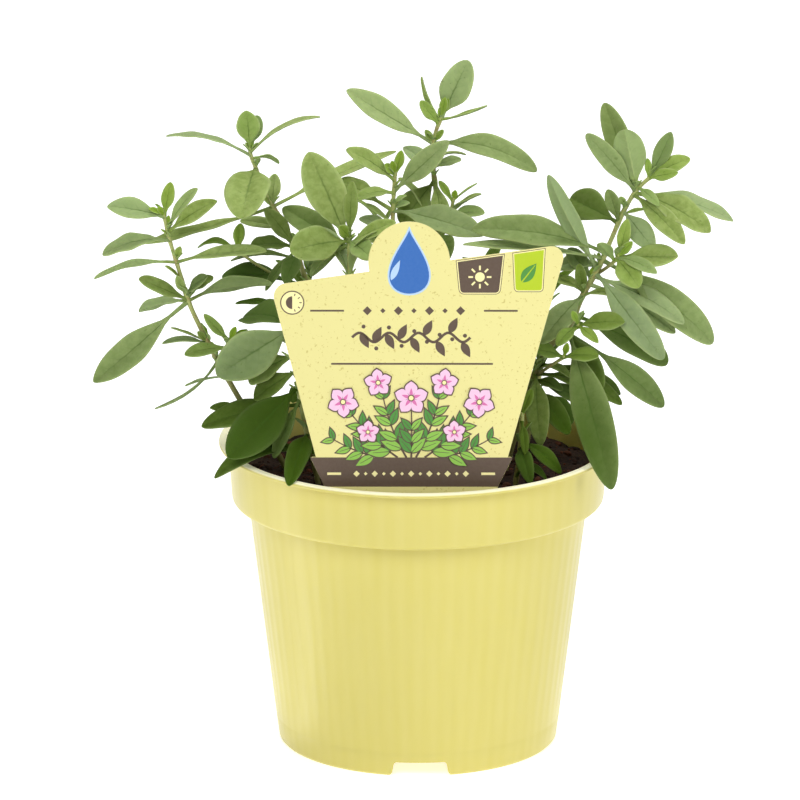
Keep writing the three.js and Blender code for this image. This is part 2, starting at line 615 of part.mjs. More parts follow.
// One leaf: a folded blade on a short petiole, along a curve that bows towards its upper face
function leafGeometry(root, leaf) {
  const [, dx, dy, dz, width, arch, lean, side = FRONT, petiole = PETIOLE_SHARE] = leaf;
  const chord = vec(dx, dy, dz);
  const length = chord.length();
  const sky = vec(Math.sin(radians(lean)) * Math.cos(radians(side)),
    Math.sin(radians(lean)) * Math.sin(radians(side)), Math.cos(radians(lean)));
  const up = sky.addScaledVector(chord, -sky.dot(chord) / (length * length)).normalize();
  const across = chord.clone().normalize().cross(up);
  const control = root.clone().addScaledVector(chord, 0.5).addScaledVector(up, 2 * arch * length);
  const curve = new THREE.QuadraticBezierCurve3(root, control, root.clone().add(chord));
  const thick = (length < SMALL_BLADE ? SMALL_BLADE_THICKNESS : BLADE_THICKNESS) / 2;
  const ring = (share, half, fold) => {
    const centre = curve.getPoint(share);
    const normal = across.clone().cross(curve.getTangent(share));
    const edge = centre.clone().addScaledVector(normal, half * Math.sin(fold));
    const reach = half * Math.cos(fold);
    return [centre.clone().addScaledVector(normal, thick), edge.clone().addScaledVector(across, reach),
      centre.clone().addScaledVector(normal, -thick), edge.clone().addScaledVector(across, -reach)];
  };
  const rings = [ring(0, PETIOLE_HALF_WIDTH, 0)];
  for (const station of bladeStations(length)) {
    const half = Math.max(PETIOLE_HALF_WIDTH, (width / 2) * bladeProfile(station));
    rings.push(ring(petiole + (1 - petiole) * station, half, station === 0 ? 0 : radians(FOLD)));
  }
  rings.push([curve.getPoint(1)]);
  return loft(rings);
}

// Crossed pairs of leaves up a shoot, shorter and steeper towards its tip
function pairedLeaves([first, last, count, azimuth, longest, shortest]) {
  const leaves = [];
  for (let k = 0; k < count; k += 1) {
    const share = k / (count - 1);
    const turn = azimuth + 90 * k + RULE_TURN * (random() - 0.5);
    for (const side of [turn, turn + 180]) {
      const length = THREE.MathUtils.lerp(longest, shortest, share) * (1 + RULE_SPREAD * (random() - 0.5));
      const rise = radians(THREE.MathUtils.lerp(...RULE_RISE, share) + RULE_TURN * (random() - 0.5));
      const reach = length * Math.cos(rise);
      leaves.push([THREE.MathUtils.lerp(first, last, share), reach * Math.cos(radians(side)),
        reach * Math.sin(radians(side)), length * Math.sin(rise), RULE_WIDTH * length, RULE_ARCH,
        RULE_LEAN, side + 180]);
    }
  }
  return leaves;
}

function leafyStem(shoots) {
  const solids = [];
  for (const shoot of shoots) {
    const curve = shootCurve(shoot);
    solids.push(toSolid(shootTube(shoot)));
    const leaves = [...shoot.leaves, ...shoot.pairs.flatMap((pairs) => pairedLeaves(pairs))];
    for (const leaf of leaves) solids.push(toSolid(leafGeometry(pointAt(curve, leaf[0]), leaf)));
  }
  return united(solids);
}

const plant = new THREE.Group();
plant.add(piece('pot', 'pot', pot()));
plant.add(piece('soil', 'soil', soil()));
plant.add(piece('plant_tag', 'plant_tag', tag()));
for (const [name, shoots] of Object.entries(STEMS)) plant.add(piece(name, 'leaf', leafyStem(shoots)));

export default plant;
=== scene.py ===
# A potted Mexican oregano in a pale yellow plastic pot with a printed plant tag.
# Sizes are in millimetres and become metres as each mesh is made. +Z is up, the origin is the middle of the
# pot's foot, and the front of the pot, where the tag stands, looks along -Y.
from math import acos, atan2, ceil, cos, degrees, exp, pi, radians, sin, sqrt, tan

import bpy
import numpy as np
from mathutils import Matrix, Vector


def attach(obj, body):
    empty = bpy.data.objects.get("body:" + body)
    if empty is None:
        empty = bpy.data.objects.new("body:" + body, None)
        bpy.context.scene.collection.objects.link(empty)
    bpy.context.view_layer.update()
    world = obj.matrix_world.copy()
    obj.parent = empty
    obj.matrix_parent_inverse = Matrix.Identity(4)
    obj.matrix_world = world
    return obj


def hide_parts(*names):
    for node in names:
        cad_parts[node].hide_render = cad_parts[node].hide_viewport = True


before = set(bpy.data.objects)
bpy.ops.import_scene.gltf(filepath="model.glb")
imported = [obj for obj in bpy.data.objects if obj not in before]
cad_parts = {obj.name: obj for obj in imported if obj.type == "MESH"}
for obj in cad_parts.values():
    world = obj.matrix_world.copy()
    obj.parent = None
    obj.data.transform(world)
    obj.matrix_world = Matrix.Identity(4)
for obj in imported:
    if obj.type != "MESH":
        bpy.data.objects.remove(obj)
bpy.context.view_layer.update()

MM = 0.001
FRONT = 270

# Pot
LIP_RADIUS = 60
LIP_WIDTH = 2.3
LIP_DEPTH = 1.1
POT_HEIGHT = 93.5
RIM_TOP_RADIUS = 57.2
RIM_FOOT_RADIUS = 56
RIM_FOOT_HEIGHT = 75
BODY_TOP_RADIUS = 51.2
FOOT_RADIUS = 42
FOOT_RING = [39.8, 41.3]
RIM_CURL = 1.4
EDGE = 0.4
WALL = 1.3
PANEL_UNDERSIDE = 5
PANEL_TOP = 6.5
POT_SIDES = 384
NOTCH_HEIGHT = 4.5
NOTCH_TOP_WIDTH = 15.6
NOTCH_CORNER = 1
# The notch's foot flares out round a soft corner
NOTCH_FLARE = [8.4, 1.1, 2]
NOTCH_FOOT = [10.9, -2.4]
NOTCH_CUT = 12
NOTCH_ANGLES = [271, 31, 151]
DRAIN_RADIUS = 4.5
DRAIN_RING = 24
DRAIN_COUNT = 6
DRAIN_SIDES = 30
RIBS = 64
RIB_DEPTH = 0.05
RIB_FADE = 4
RIB_FOOT = 9
MOULD_LINE_HEIGHT = 7.2
MOULD_LINE_STEP = 0.03

# Soil
SOIL_TOP = 84
SOIL_EDGE_DROP = 1.6
SOIL_RELIEF = 0.7
SOIL_RADIUS = 54.3
SOIL_SIDES = 180
SOIL_RINGS = 62
SOIL_GRAIN = 0.22
CRUMBS = 1150
CRUMB_SIZES = [0.35, 1.5]
CRUMB_SIDES = 7
CRUMB_TILTS = [-50, -12, 26, 60]
CRUMB_UNEVEN = [0.8, 1.15]
FIBRES = 150
FIBRE_LENGTHS = [3, 9]
FIBRE_RADIUS = 0.13
FIBRE_STEPS = 7
FIBRE_BEND = 0.5
FIBRE_BOW = 0.5
FIBRE_BARK = [0.2, 0.9]

# Tag: the plate's own X runs to the right and its Y runs up the plate from the rim's height
TAG_THICKNESS = 0.8
TAG_LEAN = 7
TAG_MIDDLE = -2
TAG_DEPTH = -46.5
TAG_EDGE = 0.22
TAG_CORNERS = [
    [-25.6, -6.5, 0.8], [25.7, -6.5, 0.8], [25.7, -1.4, 0], [30.2, 7.6, 0.5], [28.7, 7.6, 0],
    [46.3, 71.5, 3.5], [-41.7, 59, 4], [-28.3, 7.6, 0], [-30.1, 7.6, 0.5], [-25.6, -1.4, 0],
]
TAG_TOP_RIGHT = 5
TAG_BUMP = [-0.6, 66]
TAG_BUMP_RADIUS = 12.1
# The stake's middle line from the plate down, as [height, depth, width]
STAKE = [
    [90, -46.9, 18], [85, -47.6, 18], [78, -47.7, 15], [70, -47.2, 12.5], [58, -45.9, 9], [46, -44.1, 3],
]

# Leaves and stems
BLADE_WIDEST = [0.47, 0.54]
BLADE_BASE_POWER = 1.1
BLADE_TIP_POWER = [0.51, 0.7]
FOLD = 16
PETIOLE_SHARE = 0.12
PETIOLE_HALF_WIDTH = 0.55
GROWN_BLADE = 18
SMALL_BLADE = 9
BLADE_COLUMNS = [-1, -0.84, -0.6, -0.34, -0.1, 0, 0.1, 0.34, 0.6, 0.84, 1]
SMALL_COLUMNS = [-1, -0.62, -0.12, 0, 0.12, 0.62, 1]
BLADE_THICKNESS = [0.46, 0.2]
# Rows of points along a grown, a middling and a small blade, closer together towards the tip
BLADE_ROWS = [28, 20, 12]
ROW_CROWDING = 1.7
PETIOLE_PLACES = [0, 0.3, 0.6, 0.88]
BLADE_FOOT = 0.16
CUP = 0.3
EDGE_TURN = 0.06
WAVES = [0.03, 0.1]
WAVE_BEATS = [1.3, 2.6]
WAVE_LAG = 1.9
SWAY = 0.018
TWIST = 0.12
VEIN_STEP = 4
VEIN_SWEEP = 0.45
VEIN_SWEEP_MOST = 0.22
VEIN_DEPTH = 0.08
VEIN_SHADE = 0.43
PETIOLE_SHADE = 0.35
MIDRIB_DEPTH = 0.16
STALK_SIDES = 12
STALK_STEP = 1.2
STALK_SHARE = 0.66
STALK_SQUARENESS = 0.05
NODE_SWELLING = 0.22
NODE_LENGTH = 1.3
HAIRS = 3.2
HAIR_LENGTHS = [0.3, 0.8]
HAIR_RADIUS = 0.035
BUD_LENGTHS = [2.4, 4.6]
BUD_GROWTH = 1.7
BUD_HEIGHTS = [120, 160]
BUD_SPREAD = [20, 50]
BUD_RISE = [45, 68]
BUD_YOUTH = 0.75
BUDDING_LEAF = 13
DARK_SHARE = 0.35
DARK_REACH = 42
DARK_LEAF = 0.8
# Leaves turn paler between these heights
PALE_HEIGHTS = [112, 180]
PALE_LEAST = 0.1
PALE_SPREAD = 0.55
PALE_GAIN = 0.5
# Where painted shade darkens the plant's own leaves: below, less at its sides, and at its back
SHADE_HEIGHTS = [100, 142]
SHADE_SIDES = [44, 68]
SHADE_BACK = [-4, 26]
SHADE_BACK_HEIGHTS = [138, 166]
SEARCH_STEPS = 24
# Leaves whose deep green and painted shade differ from what their place in the plant gives them: from 0,
# pale, to 1, deep green and shaded, by their stem, its shoot and their number there
LEAF_SHADES = {
    ("stem_left", 0): {11: 0.35, 13: 0.6, 14: 0.6},
    ("stem_low_left", 0): {0: 1, 3: 0.6, 6: 0.9, 10: 0.45},
    ("stem_upper_left", 0): {11: 0.5, 12: 0.65, 13: 0.8, 14: 0.7, 15: 0.7, 16: 0.9, 17: 0.95},
    ("stem_front_left", 0): {1: 0.4, 4: 0.3, 7: 0.5},
    ("stem_centre", 0): {7: 0.2},
    ("stem_tall", 0): {7: 0.12, 13: 0.35},
    ("stem_right", 0): {
        0: 0.4, 1: 0.2, 3: 0.5, 12: 0.45, 14: 0.7, 17: 0.25, 19: 0.6, 20: 0.35, 22: 0.5, 25: 0.2, 27: 0.8,
        31: 0.6, 33: 0.75, 34: 0.75, 36: 0.4, 38: 0.5,
    },
    ("stem_right", 2): {0: 0.55},
    ("stem_right", 3): {0: 0.55},
}

# Each shoot has the points of its middle line, its radius at the foot and at the tip, its leaves, and the
# pairs of leaves that stand by rule. A leaf is [height on the shoot, across, away, up, width, arch, lean,
# side, petiole]: the middle three lead from its root to its tip, its upper face leans by lean degrees from
# the sky towards side, which is the front where it isn't given. Pairs are [first height, last height,
# number of pairs, azimuth of the first, length of the first, length of the last].
STEMS = {
    "stem_left": [
        {
            "route": [[-37, 2, 68], [-40, 1, 84], [-52.5, -4, 105], [-59, -6, 117.5], [-63.5, -7, 126.5],
                [-68.5, -8, 138], [-72, -8, 150], [-74.3, -7, 157.5], [-76, -6, 165]],
            "radii": [1.4, 0.7],
            "leaves": [
                [164, -17, -3, 4, 8, 0.06, 40], [164.3, 2, 2, 10, 4.2, -0.04, 85],
                [164.6, -4.5, -2, 2.5, 2.2, 0.05, 40], [164.6, -1.5, -3, 3.6, 2, 0, 80],
                [160, 9, 4, 12, 5, 0.06, 10], [159.5, 15, -5, 11, 6.5, 0.05, 45],
                [157, -20, -4, -3.5, 7, 0.13, 25], [150.5, -24.8, 3, -6, 6, 0.08, -36],
                [150.5, 27, -6, 5, 7.5, 0.05, 16], [151.5, 1.5, -2, 4.5, 2.4, 0, 80],
                [145, -5, -2, 5, 2.4, 0.05, 20], [139, -14.5, -6, 8, 6.5, 0, 34],
                [141, -2.5, -4, 6.5, 3, 0.05, 80], [140.5, 6.5, -5, 7, 5, 0.05, 36],
                [140.5, 8, 4, 4.5, 5, 0.05, 20], [138.5, -15, 4, -4.5, 6, 0.08, -42],
                [138.5, -28.4, -8, -23, 9.5, 0.02, 55, FRONT, 0.2],
                [138.5, 25, 6, 3.5, 8, 0.1, -50], [125.5, -11, -2, 5, 2.4, 0.02, 0],
                [124.5, -14, -4, 1.5, 3.6, 0.12, 20], [125.5, -3, -3, 4, 2.4, 0, 60],
                [119.5, -19, -2, -14.5, 4.5, -0.1, -10], [114.5, -12.5, 3, -4, 3, 0.04, -16],
                [102.5, -11.5, -4, 2.5, 4.6, 0.05, 34],
            ],
            "pairs": [],
        },
        {
            "route": [[-59.5, -6, 119.5], [-57, -8, 123.5], [-56.5, -9, 126.5]],
            "radii": [0.8, 0.6],
            "leaves": [
                [126.3, -7.5, -2, 9, 3.4, 0.03, 60], [126.3, 2, 0, 4.5, 2.2, 0, 80],
                [124, -13, -6, -0.5, 5, 0.08, 42], [126, 5.5, 3, 3, 2.4, 0.03, 20],
            ],
            "pairs": [],
        },
    ],
    "stem_low_left": [
        {
            "route": [[-28, -13, 68], [-30, -15, 84], [-34, -20, 105], [-35.5, -22, 116], [-36.5, -23, 130],
                [-36.5, -22, 135]],
            "radii": [1.3, 0.8],
            "leaves": [
                [116, -21, -16, -17.5, 14, 0.06, 60], [134.8, -23.3, -10, -12.6, 14.5, -0.02, 62],
                [121, -13, 2, -9.5, 8, 0.05, 40], [112, -7.9, -8, -16.2, 4.6, 0.08, 50],
                [91, -29.5, -11, -2, 7.5, 0.3, 30], [100, -5.2, -29.5, -7.2, 7.5, 0.12, 40],
                [134.5, -16, 12, -1, 12, 0.14, 30], [110, -30, 6, -8.5, 9.5, 0.08, 40],
                [134.5, -4, 6, 7, 4, 0.04, 30], [134.5, 3, 2, 8, 3.5, 0.04, 40],
                [126, -14.3, 5, -9.6, 9, 0.08, 45],
            ],
            "pairs": [],
        },
    ],
    "stem_upper_left": [
        {
            "route": [[-18, 10, 68], [-20, 10, 84], [-26, 9, 110], [-33, 8, 138], [-38, 6, 153.5],
                [-41, 6, 160], [-43.5, 6, 164], [-45.5, 5, 168.5], [-48.5, 5, 176], [-50, 5, 180],
                [-50.5, 5, 183]],
            "radii": [1.4, 0.65],
            "leaves": [
                [182.5, -1, -2, 12, 7.5, 0, 80], [182.5, 2.5, 2, 9.5, 5.5, 0, -80],
                [180, -25.5, 4, 5, 5, 0.09, 0], [181, 21, 4, 10, 5, 0.1, -4],
                [179, 8, 4, -2.5, 4, 0.15, -30], [176, -4, -26, -8.5, 14.5, 0.12, 0],
                [164.5, 1, -3, 10.5, 4.6, 0, 80], [164, -3, -2, 4, 2.2, 0, 40],
                [164, -38, -4, -10.5, 7, -0.02, 6, FRONT, 0.2], [164, 37, 12, 14, 7.5, 0.02, 10, FRONT, 0.15],
                [157, -14, 4, 1.5, 5, 0.05, 28], [152, -8.5, -6, 13, 5.5, 0.04, 60],
                [151, -13, -8, 2.5, 7, 0.1, 26], [148.5, -3.5, -12, -5.5, 6, 0.15, 50],
                [150, -9, -5, -11, 3, 0.2, 50], [147.5, -20.5, 5, -2, 6, 0.08, 0],
                [138, -26, 2, 3, 10, 0.1, 22, FRONT, 0.3], [130.5, -24, 4, 1.5, 3.5, 0.08, 20, FRONT, 0.5],
            ],
            "pairs": [],
        },
        {
            "route": [[-34, 9, 137], [-45, 9, 143], [-54.5, 7, 150]],
            "radii": [0.8, 0.6],
            "leaves": [[149.8, -12, 3, 0.3, 5, 0.2, 10], [149.8, 1, 1, 8.5, 3.8, 0.03, 70]],
            "pairs": [],
        },
    ],
    "stem_front_left": [
        {
            "route": [[-14, -18, 68], [-15, -18, 84], [-18, -17, 115], [-20, -16, 140], [-20.5, -15, 158.5],
                [-20.5, -15, 162]],
            "radii": [1.3, 0.8],
            "leaves": [
                [158, -12, -4, 29.5, 12.5, -0.04, 85], [160, 1, -2, 18, 4.6, 0.02, 85],
                [158, 14, -6, 8.5, 6, 0.05, 36], [159, -17.5, -8, -1, 12, 0.08, 50],
                [158, -11.5, -5, -8.5, 5, 0.1, -60], [159, 7, -10, -3, 7, 0.1, 50],
                [160, -3, -5, 5, 4, 0, 60], [157, -20, 22, 6.5, 9, -0.02, 45],
            ],
            "pairs": [[100, 146, 4, 60, 22, 20]],
        },
    ],
    "stem_centre": [
        {
            "route": [[-3, 5, 68], [-4, 6, 84], [-6, 6, 120], [-7.5, 5, 150], [-7.5, 5, 163], [-7, 5, 173],
                [-6.8, 5, 175]],
            "radii": [1.3, 0.65],
            "leaves": [
                [172.5, -14.5, -4, 10.5, 6.5, 0.05, 40], [174, -3, -2, 4, 3, 0, 50],
                [174.5, -1, -2, 4.5, 2.4, 0, 70], [174, 2, 1, 7.5, 3.2, 0, 80],
                [169, 16.5, -3, 16.5, 7.5, 0.04, 60], [168.5, -11.5, -4, -1, 5, 0.12, 30],
                [163, -16, 6, 8, 6.5, 0.02, 40, FRONT, 0.3], [163, 27, -14, -4, 11, 0.06, 32],
                [163.5, 5, 2, 1.5, 3.5, 0.1, 20], [159, -8, 1, 6, 2.5, 0.02, 20],
                [157, -10, 6, 2, 5, 0.08, 30], [165, 4, 1, 2.5, 2.2, 0.1, 20],
            ],
            "pairs": [[98, 142, 4, 86, 25, 19]],
        },
    ],
    "stem_tall": [
        {
            "route": [[6, 13, 68], [6, 13, 84], [5.5, 13, 120], [5.5, 12, 150], [5.4, 12, 166],
                [4.5, 12, 174.5], [4.5, 12, 181.5], [5.4, 12, 186], [6.8, 12, 189.5], [7.2, 12, 191]],
            "radii": [1.4, 0.65],
            "leaves": [
                [190, 8, -3, 18.5, 9.8, 0.03, 80], [190.5, 1, -4, 7, 2.8, 0, 85],
                [190.5, 2, -2, 6, 2.6, 0, 60], [188, -5.5, -1, 7.5, 4, 0.04, 60],
                [189, -5.5, 3, 13, 4, 0.05, 80, 190], [189.5, 14, 3, 3.5, 4.5, -0.04, -12],
                [182, -26, -4, 17.5, 9.5, 0, 34, FRONT, 0.16], [182, 31, -8, -6.5, 9, 0.14, 36],
                [182.5, -2.5, -1, 4, 2.4, 0, 60], [182.5, 3, -1, 4, 2.2, 0, 50],
                [174.5, -9, 3, 5.5, 5.5, 0.05, 40], [174.5, 8.5, -2, 3, 4, 0.08, 30],
                [177, 10, 2, 1, 3, 0.12, -8], [170.5, -10, -2, -13, 9.5, 0.02, 60],
                [171, 2.5, -6, -16, 6, 0.12, 60],
            ],
            "pairs": [[105, 151, 4, 85, 26, 22]],
        },
        {
            "route": [[5.4, 12, 153], [9, 9, 159], [10.7, 8, 166]],
            "radii": [0.8, 0.6],
            "leaves": [
                [165, -4.2, 0, 6.5, 2.4, 0, 60], [165.5, 0.6, -1, 3.4, 2, 0, 80],
                [165.5, 7.2, 1, 5, 2.4, 0.02, -5], [159, 11, -3, 3, 6, 0.12, 30],
            ],
            "pairs": [],
        },
    ],
    "stem_right": [
        {
            "route": [[24, -4, 68], [26, -5, 84], [35, -8, 115.5], [40, -8, 125], [45.5, -8, 131],
                [49.3, -7, 140], [54.3, -7, 149.3], [57.8, -6, 157.3], [61.6, -5, 166], [65.4, -4, 172],
                [69, -4, 175.6], [70, -4, 176.5]],
            "radii": [1.5, 0.7],
            "leaves": [
                [171.5, -9.5, 5, 26, 8, 0, 80], [171.5, -15, -5, 19, 6.5, 0.05, 70],
                [172, -4, -6, 20, 10, 0, -85], [175.6, 6.5, 1, 14, 5.6, 0.02, 80],
                [175.8, 12, -1, 6, 6, 0.06, 45], [175.6, 8.5, -5, 3, 4, 0.06, 60],
                [175.5, -0.5, -1, 6.5, 2.4, 0, 70], [171, 29.6, 3, -9.5, 8.5, 0.06, 20],
                [171, 22.5, -8, -10, 10, 0.12, 34], [170.5, 15, -14, -11.5, 7.5, 0.1, 45],
                [172.5, 6, -8, -3.5, 3.5, 0.12, 50], [164.5, 7, -1, 2, 2.4, 0.05, 20],
                [162.5, -3.5, -4, 11, 4.6, 0.02, 85], [167, -2, -2, 3.5, 2.2, 0, 60],
                [162, -14, 14, 4, 11, 0.1, 60], [165.5, 9, -6, -10, 7.5, 0.12, 60],
                [148, -15, -10, 32, 6.5, -0.02, -70], [153, -40, -10, 10, 11.5, 0.1, 35],
                [151.5, -42, -14, 8, 6, 0.03, 20], [145, -7, 6, 8, 5.5, 0.1, 60],
                [149, -12, 10, -3, 8, 0.1, 40], [141, -10, 8, 2, 5, 0.1, 20],
                [140.5, -1.5, -4, 10.5, 3.8, 0.02, 85], [147, 20, -17, -22, 9, 0.1, 60],
                [146, 27, -6, -13, 8, 0.08, 40], [151, 33.5, 8, -28, 10.5, 0.16, 60],
                [143.5, 26, 3, -16, 8, 0.1, 40], [134, 28, 4, -16, 10, 0.1, 50],
                [129, 30, 3, -24, 8.5, 0.17, 60, FRONT, 0.3], [140, 11, -6, 1.5, 4, 0.1, 20],
                [140, -13, -14, -11, 8, 0.14, 60], [129.5, 10.5, -6, -17, 8, 0.1, 60],
                [130, 13, -26, -42.5, 12, 0.1, 65], [119, 24.5, 2, -10, 7, 0.15, 50],
                [116, 26, -2, -9, 6.5, 0.2, 50], [114, 22, -4, -9, 5.5, 0.1, 50],
                [116, 1.5, -14, -18.5, 7.5, 0.2, 70], [110, 12, -12, -9.5, 7.5, 0.2, 50],
                [117, 10, -8, 0, 4, 0.2, 10], [113.5, 9, -5, -1.5, 4.5, 0.15, 30],
            ],
            "pairs": [],
        },
        {
            "route": [[54, -7, 147], [57, -10, 150], [59.6, -12, 153], [60, -12.5, 154]],
            "radii": [0.8, 0.6],
            "leaves": [
                [153.5, 4, -3, 5.5, 3, 0.03, 60], [153.5, 17.5, -7, 2, 9, 0, 40],
                [153, 11.5, -10, -2, 4.5, 0.12, 50], [152.5, 6.5, -10, -6, 7.8, 0.14, 55],
                [152, -5, -6, 7, 4.2, 0.02, -60], [153.5, 2.5, -1, 12, 4.2, 0.02, 70],
            ],
            "pairs": [],
        },
        {
            "route": [[43, -8, 128], [45.5, -13, 130], [47.7, -18, 133.6], [47.8, -18.6, 134.5]],
            "radii": [0.8, 0.6],
            "leaves": [
                [133.8, 13.8, -5, 2.5, 7.2, 0.08, 40], [133.6, 6, -8, -3, 3.4, 0.1, 50],
                [133, -6, -6, -4, 4.5, 0.15, 50], [134.3, -2, -3, 5, 2.4, 0, 60],
            ],
            "pairs": [],
        },
        {
            "route": [[36, -9, 116], [39, -15, 120], [43.2, -20, 124.3], [43.5, -20.8, 125.2]],
            "radii": [0.8, 0.6],
            "leaves": [
                [124.5, 10.5, -3, 1.2, 6, 0.08, 35], [124.5, -9, -3, 3, 6, 0.08, 35],
                [125, 1, -3, 5, 2.2, 0, 60],
            ],
            "pairs": [],
        },
    ],
    "stem_low_right": [
        {
            "route": [[28, -24, 68], [29, -23, 84], [30.5, -23, 96], [31, -24, 106], [31, -24, 108]],
            "radii": [1.2, 0.8],
            "leaves": [
                [106, 1, -6, -9, 3, 0.15, 50], [97, 3, -12, -7.5, 5.5, 0.25, 60],
                [99, 12, -6, -8, 5, 0.25, 50], [88, 9, -6, 1, 3.5, 0.4, 20],
                [107.5, -6, 3, 5, 4, 0.1, 30], [107.5, 3, 4, 7, 3.4, 0.05, 40],
            ],
            "pairs": [],
        },
    ],
    "stem_back_1": [
        {
            "route": [[-26, 26, 68], [-27, 27, 84], [-31, 33, 110], [-33, 38, 134]],
            "radii": [1.3, 0.7],
            "leaves": [],
            "pairs": [[97, 133, 5, 74, 25, 15]],
        },
    ],
    "stem_back_2": [
        {
            "route": [[-7, 34, 68], [-8, 35, 84], [-10, 39, 114], [-11, 42, 146]],
            "radii": [1.3, 0.7],
            "leaves": [],
            "pairs": [[101, 145, 5, 10, 24, 15]],
        },
    ],
    "stem_back_3": [
        {
            "route": [[14, 33, 68], [15, 34, 84], [18, 38, 108], [20, 41, 130]],
            "radii": [1.3, 0.7],
            "leaves": [],
            "pairs": [[96, 129, 5, 50, 25, 15]],
        },
    ],
    "stem_back_4": [
        {
            "route": [[32, 20, 68], [33, 22, 84], [37, 27, 106], [39, 31, 126]],
            "radii": [1.3, 0.7],
            "leaves": [],
            "pairs": [[98, 125, 4, 125, 26, 15]],
        },
    ],
}
RULE_SEED = 7129
RULE_WIDTH = 0.34
RULE_ARCH = 0.13
RULE_LEAN = 25
RULE_RISE = [6, 52]
RULE_TURN = 24
RULE_SPREAD = 0.14
DETAIL_SEED = 4211
SOIL_SEED = 977

# Colours as they look, from 0 to 255
POT_YELLOW = (209, 198, 107)
POT_PALE = (217, 207, 131)
# The lip's painted highlight colour and the strength of its painted glow
LIP_HIGHLIGHT = (255, 252, 226)
LIP_PAINTED_GLOW = 0.2
TAG_YELLOW = (229, 221, 148)
TAG_SPECK = (192, 176, 92)
INK_BROWN = (86, 68, 54)
INK_CREAM = (246, 236, 168)
INK_LIME = (176, 200, 12)
INK_GREEN = (70, 140, 50)
INK_LEAF = (136, 190, 70)
INK_PINK = (240, 196, 224)
INK_ROSE = (214, 110, 170)
INK_BLUE = (40, 100, 178)
INK_SKY = (176, 206, 236)
LEAF_GREEN = (94, 117, 32)
LEAF_PALE = (158, 175, 103)
LEAF_GREY = (150, 168, 132)
LEAF_YOUNG = (132, 164, 42)
# Deep green of dark leaves, also painted on as shade deep in the plant and on shaded leaves
LEAF_DEEP_AND_SHADED = (54, 80, 6)
LEAF_UNDERSIDE = (140, 160, 112)
VEIN_DARK = (62, 92, 30)
VEIN_PALE = (190, 204, 140)
STALK_GREEN = (168, 176, 106)
STALK_WOOD = (110, 107, 60)
STALK_RED = (146, 88, 72)
HAIR_PALE = (214, 218, 196)
SOIL_DARK = (24, 16, 10)
SOIL_BROWN = (66, 42, 28)
SOIL_BARK = (104, 56, 34)
FLOOR_PAPER = (246, 246, 245)

# Studio
CAMERA_PLACE = (0, -2851.5, 932)
CAMERA_AIM = (-5.4, 0, 105.4)
CAMERA_LENS = 444
SENSOR_WIDTH = 36
FLOOR_HALF_WIDTH = 6000
WORLD_LIGHT = 0.12
FLOOR_GLOW = 0.31
FOOT_GLOW = 0.55
FOOT_REACH = [55, 115]
BACK_GLOW = 0.5
BACK_START = [-60, 350]
FAR_GLOW = 1
FAR_START = [700, 1700]
# A brighter band on the floor at the left, mirrored by the pot's side: its two edges as (x, y, angle)
BAND_GLOW = 2.3
BAND_FRONT = [-45, -25, 196]
BAND_BACK = [-45, -12, 176]
BAND_FADE = 8
BAND_START = [45, 60]
LIGHT_AIM = (0, 0, 100)
# Each light's name, place, size and power
LIGHTS = [
    ("key", (-350, -1750, 1650), (1200, 1200), 31),
    ("right", (1500, -700, 700), (700, 1200), 9),
    ("top", (100, 500, 1500), (1000, 1000), 16),
]


def lerp(a, b, share):
    return a + (b - a) * share


def clamp(value):
    return min(1.0, max(0.0, value))


def smooth(low, high, value):
    """A soft step from 0 at low to 1 at high."""
    share = np.clip((value - low) / (high - low), 0, 1)
    return share * share * (3 - 2 * share)


def unit(vector):
    return vector / np.linalg.norm(vector)


def heading(angle):
    """The flat direction at an angle in radians."""
    return np.array([cos(angle), sin(angle)])


def turned(x, y, angle):
    """x and y turned about the origin by an angle in radians."""
    return x * np.cos(angle) - y * np.sin(angle), x * np.sin(angle) + y * np.cos(angle)


def placed(name, data):
    """A new object in the scene."""
    thing = bpy.data.objects.new(name, data)
    bpy.context.scene.collection.objects.link(thing)
    return thing


# Random draws from a seed, so that every run gives the same plant
class Draw:
    MULTIPLIER = 16807
    MODULUS = 2147483647

    def __init__(self, seed):
        self.state = seed

    def __call__(self):
        self.state = self.state * self.MULTIPLIER % self.MODULUS
        return self.state / self.MODULUS

    def between(self, low, high):
        return lerp(low, high, self())


